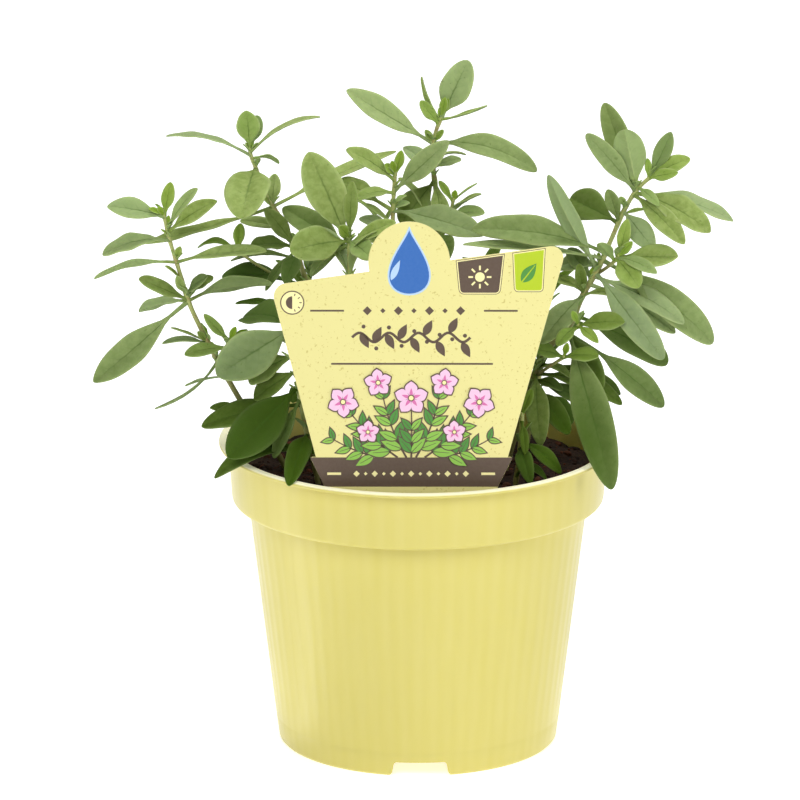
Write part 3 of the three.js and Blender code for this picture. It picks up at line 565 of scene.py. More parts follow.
# Meshes
class Skin:
    """The points, faces and marks of one piece, gathered part by part."""

    def __init__(self, name, *marks):
        self.name = name
        self.points = []
        self.faces = []
        self.marks = {mark: [] for mark in marks}
        self.count = 0

    def add(self, points, faces, marks=None):
        points = np.asarray(points, float).reshape(-1, 3)
        self.points.append(points)
        self.faces.extend([[corner + self.count for corner in face] for face in faces])
        for mark, gathered in self.marks.items():
            value = np.asarray((marks or {}).get(mark, 0.0), float)
            gathered.append(np.broadcast_to(value.reshape(-1) if value.ndim else value, len(points)))
        self.count += len(points)

    def loft(self, rings, start=None, end=None, **marks):
        """A closed form through rings of points that run counterclockwise as seen from its end.
        Each end is a point, or where none is given a flat face. A mark has one value, or one a point."""
        rings = np.asarray(rings, float)
        count, sides = rings.shape[:2]
        corner = np.arange(sides)
        after = np.roll(corner, -1)
        first = np.arange(count - 1)[:, None] * sides
        quads = np.stack([first + corner, first + after, first + sides + after, first + sides + corner], -1)
        faces = quads.reshape(-1, 4).tolist()
        points = [rings.reshape(-1, 3)]
        extra = count * sides
        last = extra - sides
        spread = {mark: np.broadcast_to(value, (count, sides)) for mark, value in marks.items()}
        ends = {mark: [] for mark in marks}
        if start is None:
            faces.append(corner[::-1].tolist())
        else:
            faces.extend([[a, b, extra] for a, b in zip(after.tolist(), corner.tolist())])
            points.append(np.reshape(start, (1, 3)))
            for mark, values in spread.items():
                ends[mark].append(values[0].mean())
            extra += 1
        if end is None:
            faces.append((corner + last).tolist())
        else:
            faces.extend([[last + a, last + b, extra] for a, b in zip(corner.tolist(), after.tolist())])
            points.append(np.reshape(end, (1, 3)))
            for mark, values in spread.items():
                ends[mark].append(values[-1].mean())
        flat = {mark: np.concatenate([values.reshape(-1), ends[mark]]) for mark, values in spread.items()}
        self.add(np.concatenate(points), faces, flat)

    def mesh(self):
        made = bpy.data.meshes.new(self.name)
        made.from_pydata((np.concatenate(self.points) * MM).tolist(), [], self.faces)
        return made

    def piece(self, finish, slot, *nodes, sharp=None):
        """The finished object: it stands for the nodes, and edges sharper than an angle stay crisp."""
        mesh = self.mesh()
        for mark, gathered in self.marks.items():
            attribute = mesh.attributes.new(mark, "FLOAT", "POINT")
            attribute.data.foreach_set("value", np.concatenate(gathered).astype(np.float32))
        mesh.shade_smooth()
        if sharp is not None:
            mesh.set_sharp_from_angle(angle=radians(sharp))
        mesh.materials.append(finish)
        piece = placed(self.name, mesh)
        if nodes:
            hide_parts(*nodes)
        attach(piece, "root")
        return piece


def rounded(corners, steps=6):
    """The points of an outline through corners of (x, y, radius), one list of them for each corner."""
    stretches = []
    for k, (x, y, radius) in enumerate(corners):
        corner = np.array([x, y], float)
        if radius == 0:
            stretches.append([corner])
            continue
        before, after = (unit(np.array(corners[j % len(corners)][:2]) - corner) for j in (k - 1, k + 1))
        half = acos(np.dot(before, after)) / 2
        centre = corner + unit(before + after) * radius / sin(half)
        start, end = (corner + way * radius / tan(half) - centre for way in (before, after))
        first = atan2(start[1], start[0])
        turn = (atan2(end[1], end[0]) - first + pi) % (2 * pi) - pi
        angles = [first + turn * share for share in np.linspace(0, 1, steps + 1)]
        stretches.append([centre + radius * heading(angle) for angle in angles])
    return stretches


def circle(x, y, radius, sides, start=0.0, turn=360.0):
    angles = np.radians(start + turn * np.arange(sides) / (sides if turn == 360 else sides - 1))
    return np.stack([x + radius * np.cos(angles), y + radius * np.sin(angles)], -1)


def widened(outline, by):
    """An outline moved out by a distance, or in where the distance is negative."""
    outline = np.asarray(outline, float)
    along = np.roll(outline, -1, 0) - outline
    along /= np.linalg.norm(along, axis=1)[:, None]
    out = np.stack([along[:, 1], -along[:, 0]], -1)
    both = out + np.roll(out, 1, 0)
    return outline + by * both * 2 / np.maximum((both * both).sum(1), 0.4)[:, None]


# Finishes
class Value:
    """A shader socket. Arithmetic on it adds Math nodes."""

    def __init__(self, finish, socket):
        self.finish = finish
        self.socket = socket

    def maths(self, operation, first, second):
        settings = {"operation": operation}
        return self.finish.node("ShaderNodeMath", settings, {0: first, 1: second})

    def __add__(self, other):
        return self.maths("ADD", self, other)

    def __sub__(self, other):
        return self.maths("SUBTRACT", self, other)

    def __rsub__(self, other):
        return self.maths("SUBTRACT", other, self)

    def __mul__(self, other):
        return self.maths("MULTIPLY", self, other)

    def __pow__(self, other):
        return self.maths("POWER", self, other)

    __radd__ = __add__
    __rmul__ = __mul__


class Finish:
    """A material, built node by node."""

    def __init__(self, name):
        self.material = bpy.data.materials.new(name)
        self.material.use_nodes = True
        self.tree = self.material.node_tree
        self.tree.nodes.clear()

    def node(self, kind, settings=None, inputs=None, output=0):
        """A node of a kind: its settings are set first, then its inputs, to numbers, colours or values."""
        made = self.tree.nodes.new(kind)
        for setting, value in (settings or {}).items():
            if setting == "stops":
                ramp = made.color_ramp.elements
                for element, (place, colour) in zip([ramp[0], ramp[1]], value):
                    element.position = place
                    element.color = colour
            else:
                setattr(made, setting, value)
        for key, value in (inputs or {}).items():
            by_name = [s for s in made.inputs if s.name == key and s.enabled]
            socket = made.inputs[key] if isinstance(key, int) else by_name[0]
            if isinstance(value, Value):
                self.tree.links.new(value.socket, socket)
            else:
                socket.default_value = value
        shown = [s for s in made.outputs if s.enabled]
        chosen = shown[output] if isinstance(output, int) else next(s for s in shown if s.name == output)
        return Value(self, chosen)

    def mark(self, name):
        return self.node("ShaderNodeAttribute", {"attribute_name": name}, output="Fac")

    def place(self):
        return self.node("ShaderNodeTexCoord", output="Object")

    def axes(self, names):
        return [self.node("ShaderNodeSeparateXYZ", {}, {"Vector": self.place()}, name) for name in names]

    def noise(self, size, detail=3, roughness=0.5, place=None):
        """Noise from 0 to 1 whose grains measure about size millimetres."""
        inputs = {"Vector": place or self.place(), "Scale": 1 / (size * MM), "Detail": detail}
        return self.node("ShaderNodeTexNoise", {}, {**inputs, "Roughness": roughness})

    def step(self, value, low, high):
        """0 below low, 1 above high."""
        inputs = {"Value": value, "From Min": low, "From Max": high}
        return self.node("ShaderNodeMapRange", {"interpolation_type": "SMOOTHSTEP"}, inputs)

    def mix(self, share, first, second, kind="MIX"):
        settings = {"data_type": "RGBA", "blend_type": kind}
        return self.node("ShaderNodeMix", settings, {"Factor": share, "A": first, "B": second})

    def coats(self, seen, *coats):
        """A colour with others laid over it, each by its share."""
        base = colour(seen)
        for share, over in coats:
            base = self.mix(share, base, colour(over))
        return base

    def bump(self, height, millimetres):
        return self.node("ShaderNodeBump", {}, {"Height": height, "Distance": millimetres * MM})

    def surface(self, inputs):
        shader = self.node("ShaderNodeBsdfPrincipled", {}, inputs)
        made = self.tree.nodes.new("ShaderNodeOutputMaterial")
        self.tree.links.new(shader.socket, made.inputs["Surface"])
        return self.material


def colour(seen):
    """A shader colour from one given as it looks, from 0 to 255."""
    shares = [value / 255 for value in seen]
    return tuple(s / 12.92 if s <= 0.04045 else ((s + 0.055) / 1.055) ** 2.4 for s in shares) + (1.0,)


def pot_plastic():
    """Pale yellow moulded plastic: satin, a little cloudy and translucent, with faint painted light along its
    ribs and a painted highlight and painted glow on its lip.
    """
    finish = Finish("pale_yellow_plastic")
    cloud = finish.noise(28, detail=2)
    grain = finish.noise(0.35, detail=2)
    wear = finish.step(finish.noise(6, detail=5, roughness=0.7), 0.62, 0.8)
    stretched = finish.node(
        "ShaderNodeVectorMath", {"operation": "MULTIPLY"}, {0: finish.place(), 1: (1, 1, 0.06)},
    )
    streak = finish.noise(3, detail=3, place=stretched)
    x, y, z = finish.axes("XYZ")
    rib = finish.node("ShaderNodeMath", {"operation": "COSINE"}, {0: RIBS * x.maths("ARCTAN2", y, x)})
    # Painted light along the ribs: a little paler in their grooves than on their crests
    pale = 0.2 * cloud + 0.5 * streak + 0.08 * rib
    # A painted highlight on the lip's top: paler and creamier there, and a painted glow
    lip = finish.step(z, (POT_HEIGHT - 0.6) * MM, POT_HEIGHT * MM)
    base = finish.coats(POT_YELLOW, (pale, POT_PALE), (0.75 * lip, LIP_HIGHLIGHT))
    glow = finish.mix(lip, (0, 0, 0, 1), colour(LIP_HIGHLIGHT))
    return finish.surface({
        "Base Color": base, "Roughness": 0.26 + 0.05 * grain + 0.06 * wear, "IOR": 1.46,
        "Specular IOR Level": 0.3, "Emission Color": glow, "Emission Strength": LIP_PAINTED_GLOW,
        "Subsurface Weight": 0.12, "Subsurface Radius": (1.0, 0.9, 0.4), "Subsurface Scale": 1.5 * MM,
        "Normal": finish.bump(grain + 0.6 * cloud, 0.025),
    })


def tag_plastic():
    """Printed plastic sheet: pale yellow with tiny specks."""
    finish = Finish("pale_yellow_sheet")
    speck = finish.step(finish.noise(0.9, detail=3, roughness=0.55), 0.62, 0.69)
    fibre = finish.noise(0.5, detail=2)
    base = finish.coats(TAG_YELLOW, (speck * 0.7, TAG_SPECK))
    return finish.surface({
        "Base Color": base, "Roughness": 0.42 + 0.1 * fibre, "IOR": 1.45,
        "Normal": finish.bump(fibre, 0.01),
    })


def ink(name, shade):
    """Flat printing ink with the faint unevenness of a print."""
    finish = Finish("ink_" + name)
    uneven = finish.noise(0.8, detail=4, roughness=0.6)
    base = finish.coats(shade, (uneven * 0.16, [lerp(value, 255, 0.35) for value in shade]))
    return finish.surface({"Base Color": base, "Roughness": 0.4 + 0.12 * uneven, "IOR": 1.45})


def leaf_skin():
    """Green leaf: paler with age, with painted shade deep in the plant, greyish underneath, with a darker
    midrib.
    """
    finish = Finish("oregano_leaf")
    vein = finish.step(finish.mark("vein"), 0.2, 0.85)
    below = finish.mark("below")
    mottle = finish.noise(2.2, detail=4, roughness=0.6)
    grain = finish.noise(0.3, detail=2)
    patches = finish.step(mottle, 0.34, 0.66)
    speck = finish.step(finish.noise(1.3, detail=3), 0.66, 0.76)
    # The deep mark lays on the deep green of dark leaves and painted shade deep in the plant
    base = finish.coats(
        LEAF_GREEN, (finish.mark("tone") * 0.75 + 0.32 * patches, LEAF_PALE),
        (finish.mark("bloom") * 0.6, LEAF_GREY), (finish.mark("young"), LEAF_YOUNG),
        (finish.mark("deep") * 0.95, LEAF_DEEP_AND_SHADED), (vein * (1 - below) * 0.62, VEIN_DARK),
        (finish.mark("margin") * 0.5, VEIN_PALE), (speck * 0.35, LEAF_DEEP_AND_SHADED),
        (below * 0.62, LEAF_UNDERSIDE), (vein * below * 0.4, VEIN_PALE),
    )
    return finish.surface({
        "Base Color": base, "Roughness": 0.52 + 0.12 * below + 0.1 * mottle, "IOR": 1.42,
        "Specular IOR Level": 0.05,
        "Subsurface Weight": 0.1, "Subsurface Radius": (0.5, 1.0, 0.2), "Subsurface Scale": 0.8 * MM,
        "Normal": finish.bump(grain + 0.8 * mottle, 0.09),
    })


def stalk_skin():
    """Green stem that turns brown and woody towards its foot, with reddish streaks."""
    finish = Finish("oregano_stalk")
    streak = finish.noise(3, detail=4, roughness=0.65)
    fibre = finish.noise(0.5, detail=3)
    wood = finish.mark("wood")
    red = finish.step(streak, 0.48, 0.68) * finish.mark("red")
    base = finish.coats(
        STALK_GREEN, (wood, STALK_WOOD), (red * 0.55, STALK_RED), (finish.mark("hair"), HAIR_PALE),
    )
    return finish.surface({
        "Base Color": base, "Roughness": 0.5 + 0.2 * wood + 0.08 * fibre, "IOR": 1.42,
        "Normal": finish.bump(fibre, 0.12),
    })


def potting_soil():
    """Dark moist soil with brown crumbs and reddish bits of bark."""
    finish = Finish("potting_soil")
    grain = finish.noise(0.9, detail=6, roughness=0.7)
    patch = finish.noise(7, detail=4)
    brown = finish.step(grain + 0.4 * patch, 0.5, 1.0)
    base = finish.coats(SOIL_DARK, (brown, SOIL_BROWN), (finish.mark("bark"), SOIL_BARK))
    return finish.surface({
        "Base Color": base, "Roughness": 0.82 + 0.14 * grain, "Specular IOR Level": 0.2,
        "Normal": finish.bump(grain, 0.5),
    })


def floor_paper():
    """White paper, lit from below, most of all in a band at the pot's left and far from the pot."""
    finish = Finish("floor_paper")
    x, y = finish.axes("XY")
    band = finish.step(0 - x, BAND_START[0] * MM, BAND_START[1] * MM)
    for (edge_x, edge_y, angle), way in ((BAND_FRONT, 1), (BAND_BACK, -1)):
        ahead = way * cos(radians(angle)), way * sin(radians(angle))
        inside = (x - edge_x * MM) * ahead[1] - (y - edge_y * MM) * ahead[0]
        band = band * finish.step(inside, -BAND_FADE * MM / 2, BAND_FADE * MM / 2)
    foot, near, back, far = (
        (glow / BAND_GLOW,) * 3 + (1,) for glow in (FOOT_GLOW, FLOOR_GLOW, BACK_GLOW, FAR_GLOW)
    )
    distance = (x * x + y * y) ** 0.5
    glow = finish.mix(finish.step(y, BACK_START[0] * MM, BACK_START[1] * MM), near, back)
    glow = finish.mix(finish.step(distance, FOOT_REACH[0] * MM, FOOT_REACH[1] * MM), foot, glow)
    glow = finish.mix(finish.step(distance, FAR_START[0] * MM, FAR_START[1] * MM), glow, far)
    glow = finish.mix(band, glow, (1, 1, 1, 1))
    base = finish.mix(finish.noise(900, detail=1) * 0.3, colour(FLOOR_PAPER), (1, 1, 1, 1))
    return finish.surface({
        "Base Color": base, "Roughness": 0.9, "Emission Color": glow, "Emission Strength": BAND_GLOW,
    })


# Pot
def body_radius(height):
    return lerp(FOOT_RADIUS, BODY_TOP_RADIUS, height / RIM_FOOT_HEIGHT)


def pot_section():
    """The pot's section as (radius, height): up the outside, over the lip and down the inside."""
    under_lip = POT_HEIGHT - LIP_DEPTH
    line = MOULD_LINE_HEIGHT
    corners = [
        (0, PANEL_UNDERSIDE, 0), (FOOT_RING[0] - EDGE, PANEL_UNDERSIDE, 0.3), (FOOT_RING[0], 0, 0.2),
        (FOOT_RING[1], 0, 0.3), (FOOT_RADIUS, 2 * EDGE, 0.5),
        (body_radius(line), line, 0), (body_radius(line) - MOULD_LINE_STEP, line + 0.1, 0),
        (body_radius(line + 1), line + 1, 0),
        (BODY_TOP_RADIUS, RIM_FOOT_HEIGHT, 0.7), (RIM_FOOT_RADIUS, RIM_FOOT_HEIGHT, RIM_CURL),
        (RIM_TOP_RADIUS, under_lip, 0.4), (LIP_RADIUS, under_lip, 0.3), (LIP_RADIUS, POT_HEIGHT, 0.8),
        (LIP_RADIUS - LIP_WIDTH, POT_HEIGHT, 0.6), (RIM_TOP_RADIUS - WALL, under_lip, 0.5),
        (RIM_FOOT_RADIUS - WALL, RIM_FOOT_HEIGHT + WALL, 0.4),
        (BODY_TOP_RADIUS - WALL, RIM_FOOT_HEIGHT + WALL / 2, 0.4),
        (body_radius(PANEL_TOP) - WALL, PANEL_TOP, 0), (0, PANEL_TOP, 0),
    ]
    points = [point for stretch in rounded(corners, 5) for point in stretch]
    filled = [points[0]]
    for point in points[1:]:
        steps = max(1, round(abs(point[1] - filled[-1][1]) / RIB_FADE))
        last = filled[-1]
        filled.extend(lerp(last, point, (k + 1) / steps) for k in range(steps))
    return np.array(filled)


def pot():
    section = pot_section()
    angles = np.radians(np.arange(POT_SIDES) * 360 / POT_SIDES)
    radius, height = (section[1:-1, k][:, None] for k in (0, 1))
    outside = np.arange(len(section) - 2)[:, None] < np.argmax(section[:, 0])
    ribbed = smooth(RIB_FOOT, RIB_FOOT + 2 * RIB_FADE, height)
    ribbed = ribbed * (1 - smooth(RIM_FOOT_HEIGHT - 2 * RIB_FADE, RIM_FOOT_HEIGHT - 1, height)) * outside
    radius = radius - RIB_DEPTH * ribbed * (1 + np.cos(RIBS * angles))
    rings = np.stack([radius * np.cos(angles), radius * np.sin(angles), height + 0 * angles], -1)
    skin = Skin("pot_shell")
    skin.loft(rings, (0, 0, section[0][1]), (0, 0, section[-1][1]))
    shell = skin.piece(pot_plastic(), "pot", "pot")
    cut(shell, pot_cutters())


def pot_cutters():
    """The notches of the foot ring and the holes of the raised base, as one cutting mesh."""
    cutters = Skin("pot_cutters")
    top = NOTCH_TOP_WIDTH / 2
    low, under = NOTCH_FOOT
    flare, rise, bend = NOTCH_FLARE
    corners = [
        (-low, under, 0), (low, under, 0), (flare, rise, bend), (top, NOTCH_HEIGHT, NOTCH_CORNER),
        (-top, NOTCH_HEIGHT, NOTCH_CORNER), (-flare, rise, bend),
    ]
    outline = np.array([point for stretch in rounded(corners) for point in stretch])
    for angle in NOTCH_ANGLES:
        turn = radians(angle - FRONT)
        rings = []
        for depth in (-FOOT_RADIUS + NOTCH_CUT / 2, -FOOT_RADIUS - NOTCH_CUT / 2):
            rings.append(np.stack([*turned(outline[:, 0], depth, turn), outline[:, 1]], -1))
        cutters.loft(rings)
    for k in range(DRAIN_COUNT + 1):
        ring = DRAIN_RING if k else 0
        middle = ring * heading(radians(k * 360 / DRAIN_COUNT))
        hole = circle(*middle, DRAIN_RADIUS, DRAIN_SIDES)
        cutters.loft([np.insert(hole, 2, z, 1) for z in (PANEL_UNDERSIDE - WALL, PANEL_TOP + WALL)])
    return cutters


def cut(piece, cutters):
    """Cuts the cutters out of a piece and keeps the cut mesh."""
    tool = placed(cutters.name, cutters.mesh())
    modifier = piece.modifiers.new("cut", "BOOLEAN")
    modifier.operation = "DIFFERENCE"
    modifier.solver = "EXACT"
    modifier.object = tool
    done = piece.evaluated_get(bpy.context.evaluated_depsgraph_get())
    cut_mesh = bpy.data.meshes.new_from_object(done)
    piece.modifiers.clear()
    piece.data = cut_mesh
    piece.data.set_sharp_from_angle(angle=radians(32))
    bpy.data.objects.remove(tool)


# Soil
def soil_height(x, y):
    broad = np.sin(0.21 * x + 0.6) * np.cos(0.17 * y)
    close = np.sin(0.36 * y - 0.13 * x + 1.2)
    return SOIL_TOP + SOIL_RELIEF * (broad + 0.7 * close)


def soil_surface(x, y):
    """The soil's top with its loose grain, a little lower along the pot's wall."""
    grain = np.sin(1.9 * x + 0.7 * y) * np.sin(1.3 * y - 0.9 * x + 2) + np.sin(3.1 * x - 2.3 * y + 1)
    edge = smooth(SOIL_RADIUS - 8, SOIL_RADIUS, np.hypot(x, y))
    return soil_height(x, y) + SOIL_GRAIN * grain - SOIL_EDGE_DROP * edge


def soil():
    draw = Draw(SOIL_SEED)
    skin = Skin("soil_plug", "bark")
    angles = np.radians(np.arange(SOIL_SIDES) * 360 / SOIL_SIDES)
    floor = PANEL_TOP + 0.1
    step = RIM_FOOT_HEIGHT + WALL + 0.2
    inside = WALL + 0.2
    sides = [(body_radius(floor) - inside, floor), (BODY_TOP_RADIUS - inside, step), (SOIL_RADIUS, step)]
    rings = [np.insert(circle(0, 0, radius, SOIL_SIDES), 2, height, 1) for radius, height in sides]
    for share in np.linspace(1, 1 / SOIL_RINGS, SOIL_RINGS):
        x, y = SOIL_RADIUS * share * np.cos(angles), SOIL_RADIUS * share * np.sin(angles)
        rings.append(np.stack([x, y, soil_surface(x, y)], -1))
    skin.loft(rings, end=(0, 0, float(soil_surface(0.0, 0.0))))
    for _ in range(CRUMBS):
        crumb(skin, draw)
    for _ in range(FIBRES):
        fibre(skin, draw)
    skin.piece(potting_soil(), "soil", "soil")


def on_soil(draw, margin):
    """A place drawn on the soil's top, clear of the pot's wall."""
    reach = (SOIL_RADIUS - margin) * sqrt(draw())
    x, y = reach * heading(2 * pi * draw())
    return np.array([x, y, float(soil_surface(x, y))])


def crumb(skin, draw):
    """One crumb of soil or bit of bark: a small uneven lump, half sunk in."""
    size = lerp(*CRUMB_SIZES, draw() ** 3)
    place = on_soil(draw, size + 0.4)
    bark = draw() ** 3
    stretch = np.array([1 + 0.9 * draw(), 0.75 + 0.4 * draw(), 0.55 + 0.3 * draw()]) * size
    turn = pi * draw()
    rings = []
    for tilt in CRUMB_TILTS:
        wide, high = heading(radians(tilt))
        rings.append([
            (wide * cos(a) * draw.between(*CRUMB_UNEVEN), wide * sin(a) * draw.between(*CRUMB_UNEVEN), high)
            for a in np.radians(np.arange(CRUMB_SIDES) * 360 / CRUMB_SIDES + tilt)
        ])
    rings = np.array(rings) * stretch
    spun = np.stack([*turned(rings[..., 0], rings[..., 1], turn), rings[..., 2]], -1) + place
    end = np.array([0, 0, stretch[2]])
    skin.loft(spun, place - end, place + end, bark=bark)


def fibre(skin, draw):
    """One fine root or peat fibre that lies on the soil in a low bow."""
    place = on_soil(draw, FIBRE_LENGTHS[1])
    angle, bend = 2 * pi * draw(), draw.between(-FIBRE_BEND, FIBRE_BEND)
    length = draw.between(*FIBRE_LENGTHS)
    rings = []
    for share in np.linspace(0, 1, FIBRE_STEPS):
        along = heading(angle + bend * share)
        x, y = place[:2] + length * share * along
        z = float(soil_surface(x, y)) + 0.1 + FIBRE_BOW * sin(pi * share)
        rings.append(ring_around(np.array([x, y, z]), np.append(along, 0), FIBRE_RADIUS, 5))
    skin.loft(rings, bark=draw.between(*FIBRE_BARK))


# Tag
def on_tag(points, out=0.0):
    """Points of the tag's own X and Y, out towards the front by a distance from the plate's middle."""
    x, up = np.moveaxis(np.asarray(points, float), -1, 0)
    up, depth = turned(up, -out, radians(TAG_LEAN))
    return np.stack([x + TAG_MIDDLE, depth + TAG_DEPTH, up + POT_HEIGHT], -1)


def tag_outline():
    """The plate's outline with the round bump on its top edge."""
    stretches = rounded(TAG_CORNERS)
    right, left = (np.array(TAG_CORNERS[TAG_TOP_RIGHT + k][:2]) for k in (0, 1))
    edge = unit(left - right)
    bump = np.array(TAG_BUMP)
    foot = right + edge * np.dot(bump - right, edge)
    half = sqrt(TAG_BUMP_RADIUS ** 2 - np.sum((bump - foot) ** 2))
    start, end = (foot + way * half * edge - bump for way in (-1, 1))
    first = degrees(atan2(start[1], start[0]))
    last = degrees(atan2(end[1], end[0])) % 360
    arc = circle(*bump, TAG_BUMP_RADIUS, 48, first, last - first)
    before = [point for stretch in stretches[:TAG_TOP_RIGHT + 1] for point in stretch]
    after = [point for stretch in stretches[TAG_TOP_RIGHT + 1:] for point in stretch]
    return np.array([*before, *arc, *after])


def tag_plate():
    skin = Skin("tag_plate")
    outline = tag_outline()
    half = TAG_THICKNESS / 2
    rings = []
    for share in np.linspace(0, 90, 4):
        inset = TAG_EDGE * (1 - sin(radians(share)))
        rings.append((-half + TAG_EDGE * (1 - cos(radians(share))), -inset))
    rings += [(-out, inset) for out, inset in reversed(rings)]
    skin.loft([on_tag(widened(outline, inset), out) for out, inset in rings])
    rings = []
    for z, y, width in STAKE:
        reach = width / 2
        corners = [(-reach, -half, 0.3), (reach, -half, 0.3), (reach, half, 0.3), (-reach, half, 0.3)]
        ring = [(TAG_MIDDLE + p[0], y + p[1], z) for stretch in rounded(corners, 3) for p in stretch]
        rings.append(ring)
    skin.loft(rings[::-1])
    skin.piece(tag_plastic(), "plant_tag", "plant_tag", sharp=40)


# Print on the tag
INK_SUNK = 0.05
INK_STEP = 0.012
SPRIG_LAYERS = 6
BLOSSOM_LAYER = 26
BAND_TOP = 7.5
BAND_FOOT = -1.3
RULE_INK = 0.55
DROP_WIDTH = 8.4
DROP_HEIGHT = 19
DROP_TOP = 75.6
BAND_CORNERS = [(-25.6, BAND_FOOT), (25.7, BAND_FOOT), (30.1, BAND_TOP), (-30, BAND_TOP)]
# The rules' left ends, right ends and heights
RULES = [(-29.9, -19.9, 51.5), (21.5, 31.5, 51.5), (-23.7, 24.2, 35.6)]
DIAMOND_ROW = [0.8, 51.5]
BAND_MIDDLE = 2.6
# Each twig's start, middle and end, its pairs of leaves and its longest leaf. All but the middle one have
# a mirror image at the left, and so have the blossoms.
TWIGS = [
    ((9, BAND_TOP), (16, 8.5), (24.2, 13.6), 4, 6),
    ((4, BAND_TOP), (12, 13), (18.5, 21.5), 5, 6.6),
    ((1.4, BAND_TOP), (6.5, 16), (8.6, 27), 5, 6.4),
    ((0, BAND_TOP), (0.3, 12), (0, 24), 4, 6),
]
# Each blossom's middle, size and turn
BLOSSOMS = [((20.2, 24.2), 4.6, 50), ((9.8, 30), 4.1, 84), ((0, 25.4), 5, 90), ((12.8, 15.2), 3.4, 20)]
HALF_SHADE = np.array([-35.2, 53.9])
SUN_TAB = [(14.6, 56.9, 1.1), (25.9, 56.9, 1.1), (27.1, 68, 0), (13.7, 66.1, 0)]
SUN = np.array([20.3, 61.6])
LEAF_TAB = [(30.9, 57.6, 0.8), (38.6, 57.6, 0.8), (39.2, 69.7, 0), (30.4, 68.4, 0)]
LEAF_SIGN = (32.6, 60)


def mirrored(outline):
    """An outline flipped from left to right, still counterclockwise."""
    return np.array([(-x, y) for x, y in outline][::-1])


def stroke(points, width, end_width=None):
    """The outline of a line through points that may narrow towards its end."""
    points = np.asarray(points, float)
    along = np.gradient(points, axis=0)
    along /= np.linalg.norm(along, axis=1)[:, None]
    out = np.stack([along[:, 1], -along[:, 0]], -1)
    half = np.linspace(width, end_width or width, len(points))[:, None] / 2
    return np.concatenate([points + out * half, (points - out * half)[::-1]])


def bow(start, middle, end, steps=14):
    """Points of a bowed line from start to end that leans towards middle."""
    start, middle, end = (np.array(point, float) for point in (start, middle, end))
    shares = np.linspace(0, 1, steps)[:, None]
    return (1 - shares) ** 2 * start + 2 * shares * (1 - shares) * middle + shares ** 2 * end


def oval(root, angle, length, width, point=0.8):
    """A leaf's or petal's outline from its root, along an angle in degrees. Its widest place may shift."""
    shares = np.linspace(0, 1, 13)
    half = width / 2 * np.sin(pi * shares ** point)
    x = np.concatenate([shares, shares[-2:0:-1]]) * length
    y = np.concatenate([-half, half[-2:0:-1]])
    return np.stack(turned(x, y, radians(angle)), -1) + root


class Print:
    """The tag's print: one thin mesh for each ink, in layers that lie just on the plate."""

    def __init__(self, **inks):
        self.inks = inks
        self.skins = {name: Skin("print_" + name) for name in inks}

    def stamp(self, name, outline, layer):
        levels = (TAG_THICKNESS / 2 - INK_SUNK, TAG_THICKNESS / 2 + layer * INK_STEP)
        self.skins[name].loft([on_tag(outline, out) for out in levels])

    def both(self, name, outline, layer):
        """The outline on the right and its mirror image on the left."""
        self.stamp(name, outline, layer)
        self.stamp(name, mirrored(outline), layer + 0.5)

    def pieces(self):
        for name, skin in self.skins.items():
            skin.piece(ink(name, self.inks[name]), "print", sharp=40)


def print_leaf(put, root, angle, length, shade, layer):
    """A leaf with a dark outline and a midrib, stamped by put on one side or on both."""
    shape = oval(root, angle, length, 0.42 * length)
    put("brown", widened(shape, 0.32), layer)
    put(shade, shape, layer + 1)
    tip = root + 0.75 * length * heading(radians(angle))
    put("brown", stroke([root, tip], 0.24, 0.12), layer + 2)


def print_sprig(put, line, leaves, longest, order):
    """A bowed twig with pairs of leaves that shorten towards its tip."""
    layer = 1 + order * SPRIG_LAYERS
    put("brown", stroke(line, 0.6, 0.3), layer)
    steps = len(line) - 1
    for k in range(leaves):
        at = round(lerp(0.16, 0.9, k / (leaves - 1)) * steps)
        ahead = line[min(at + 1, steps)] - line[at - 1]
        angle = degrees(atan2(ahead[1], ahead[0]))
        length = lerp(longest, 0.6 * longest, k / (leaves - 1))
        for turn, shade in ((42, "green"), (-42, "leaf")):
            print_leaf(put, line[at], angle + turn, length, shade, layer + 3 * (k % 2))


def print_blossom(put, centre, size, turn):
    """A round blossom of five petals."""
    for k in range(5):
        petal = oval(centre, turn + 72 * k, size, 0.74 * size, 1.35)
        put("brown", widened(petal, 0.34), BLOSSOM_LAYER)
    for k in range(5):
        angle = turn + 72 * k
        put("pink", oval(centre, angle, size, 0.74 * size, 1.35), BLOSSOM_LAYER + 1)
        put("rose", oval(centre, angle, 0.6 * size, 0.2 * size), BLOSSOM_LAYER + 2)
    put("brown", circle(*centre, 0.2 * size, 16), BLOSSOM_LAYER + 3)
    put("cream", circle(*centre, 0.14 * size, 16), BLOSSOM_LAYER + 4)


def print_sun(sheet, name, centre, size, layer):
    sheet.stamp(name, circle(*centre, 0.42 * size, 24), layer)
    for k in range(8):
        way = heading(pi * k / 4)
        sheet.stamp(name, stroke([centre + way * 0.6 * size, centre + way * size], 0.16 * size), layer)


def print_tab(sheet, corners, name):
    """A tab that hangs from the plate's top edge, with a fine double outline."""
    shape = np.array([point for stretch in rounded(corners, 4) for point in stretch])
    sheet.stamp("brown", widened(shape, 0.5), 1)
    sheet.stamp("cream", widened(shape, 0.3), 2)
    sheet.stamp(name, shape, 3)


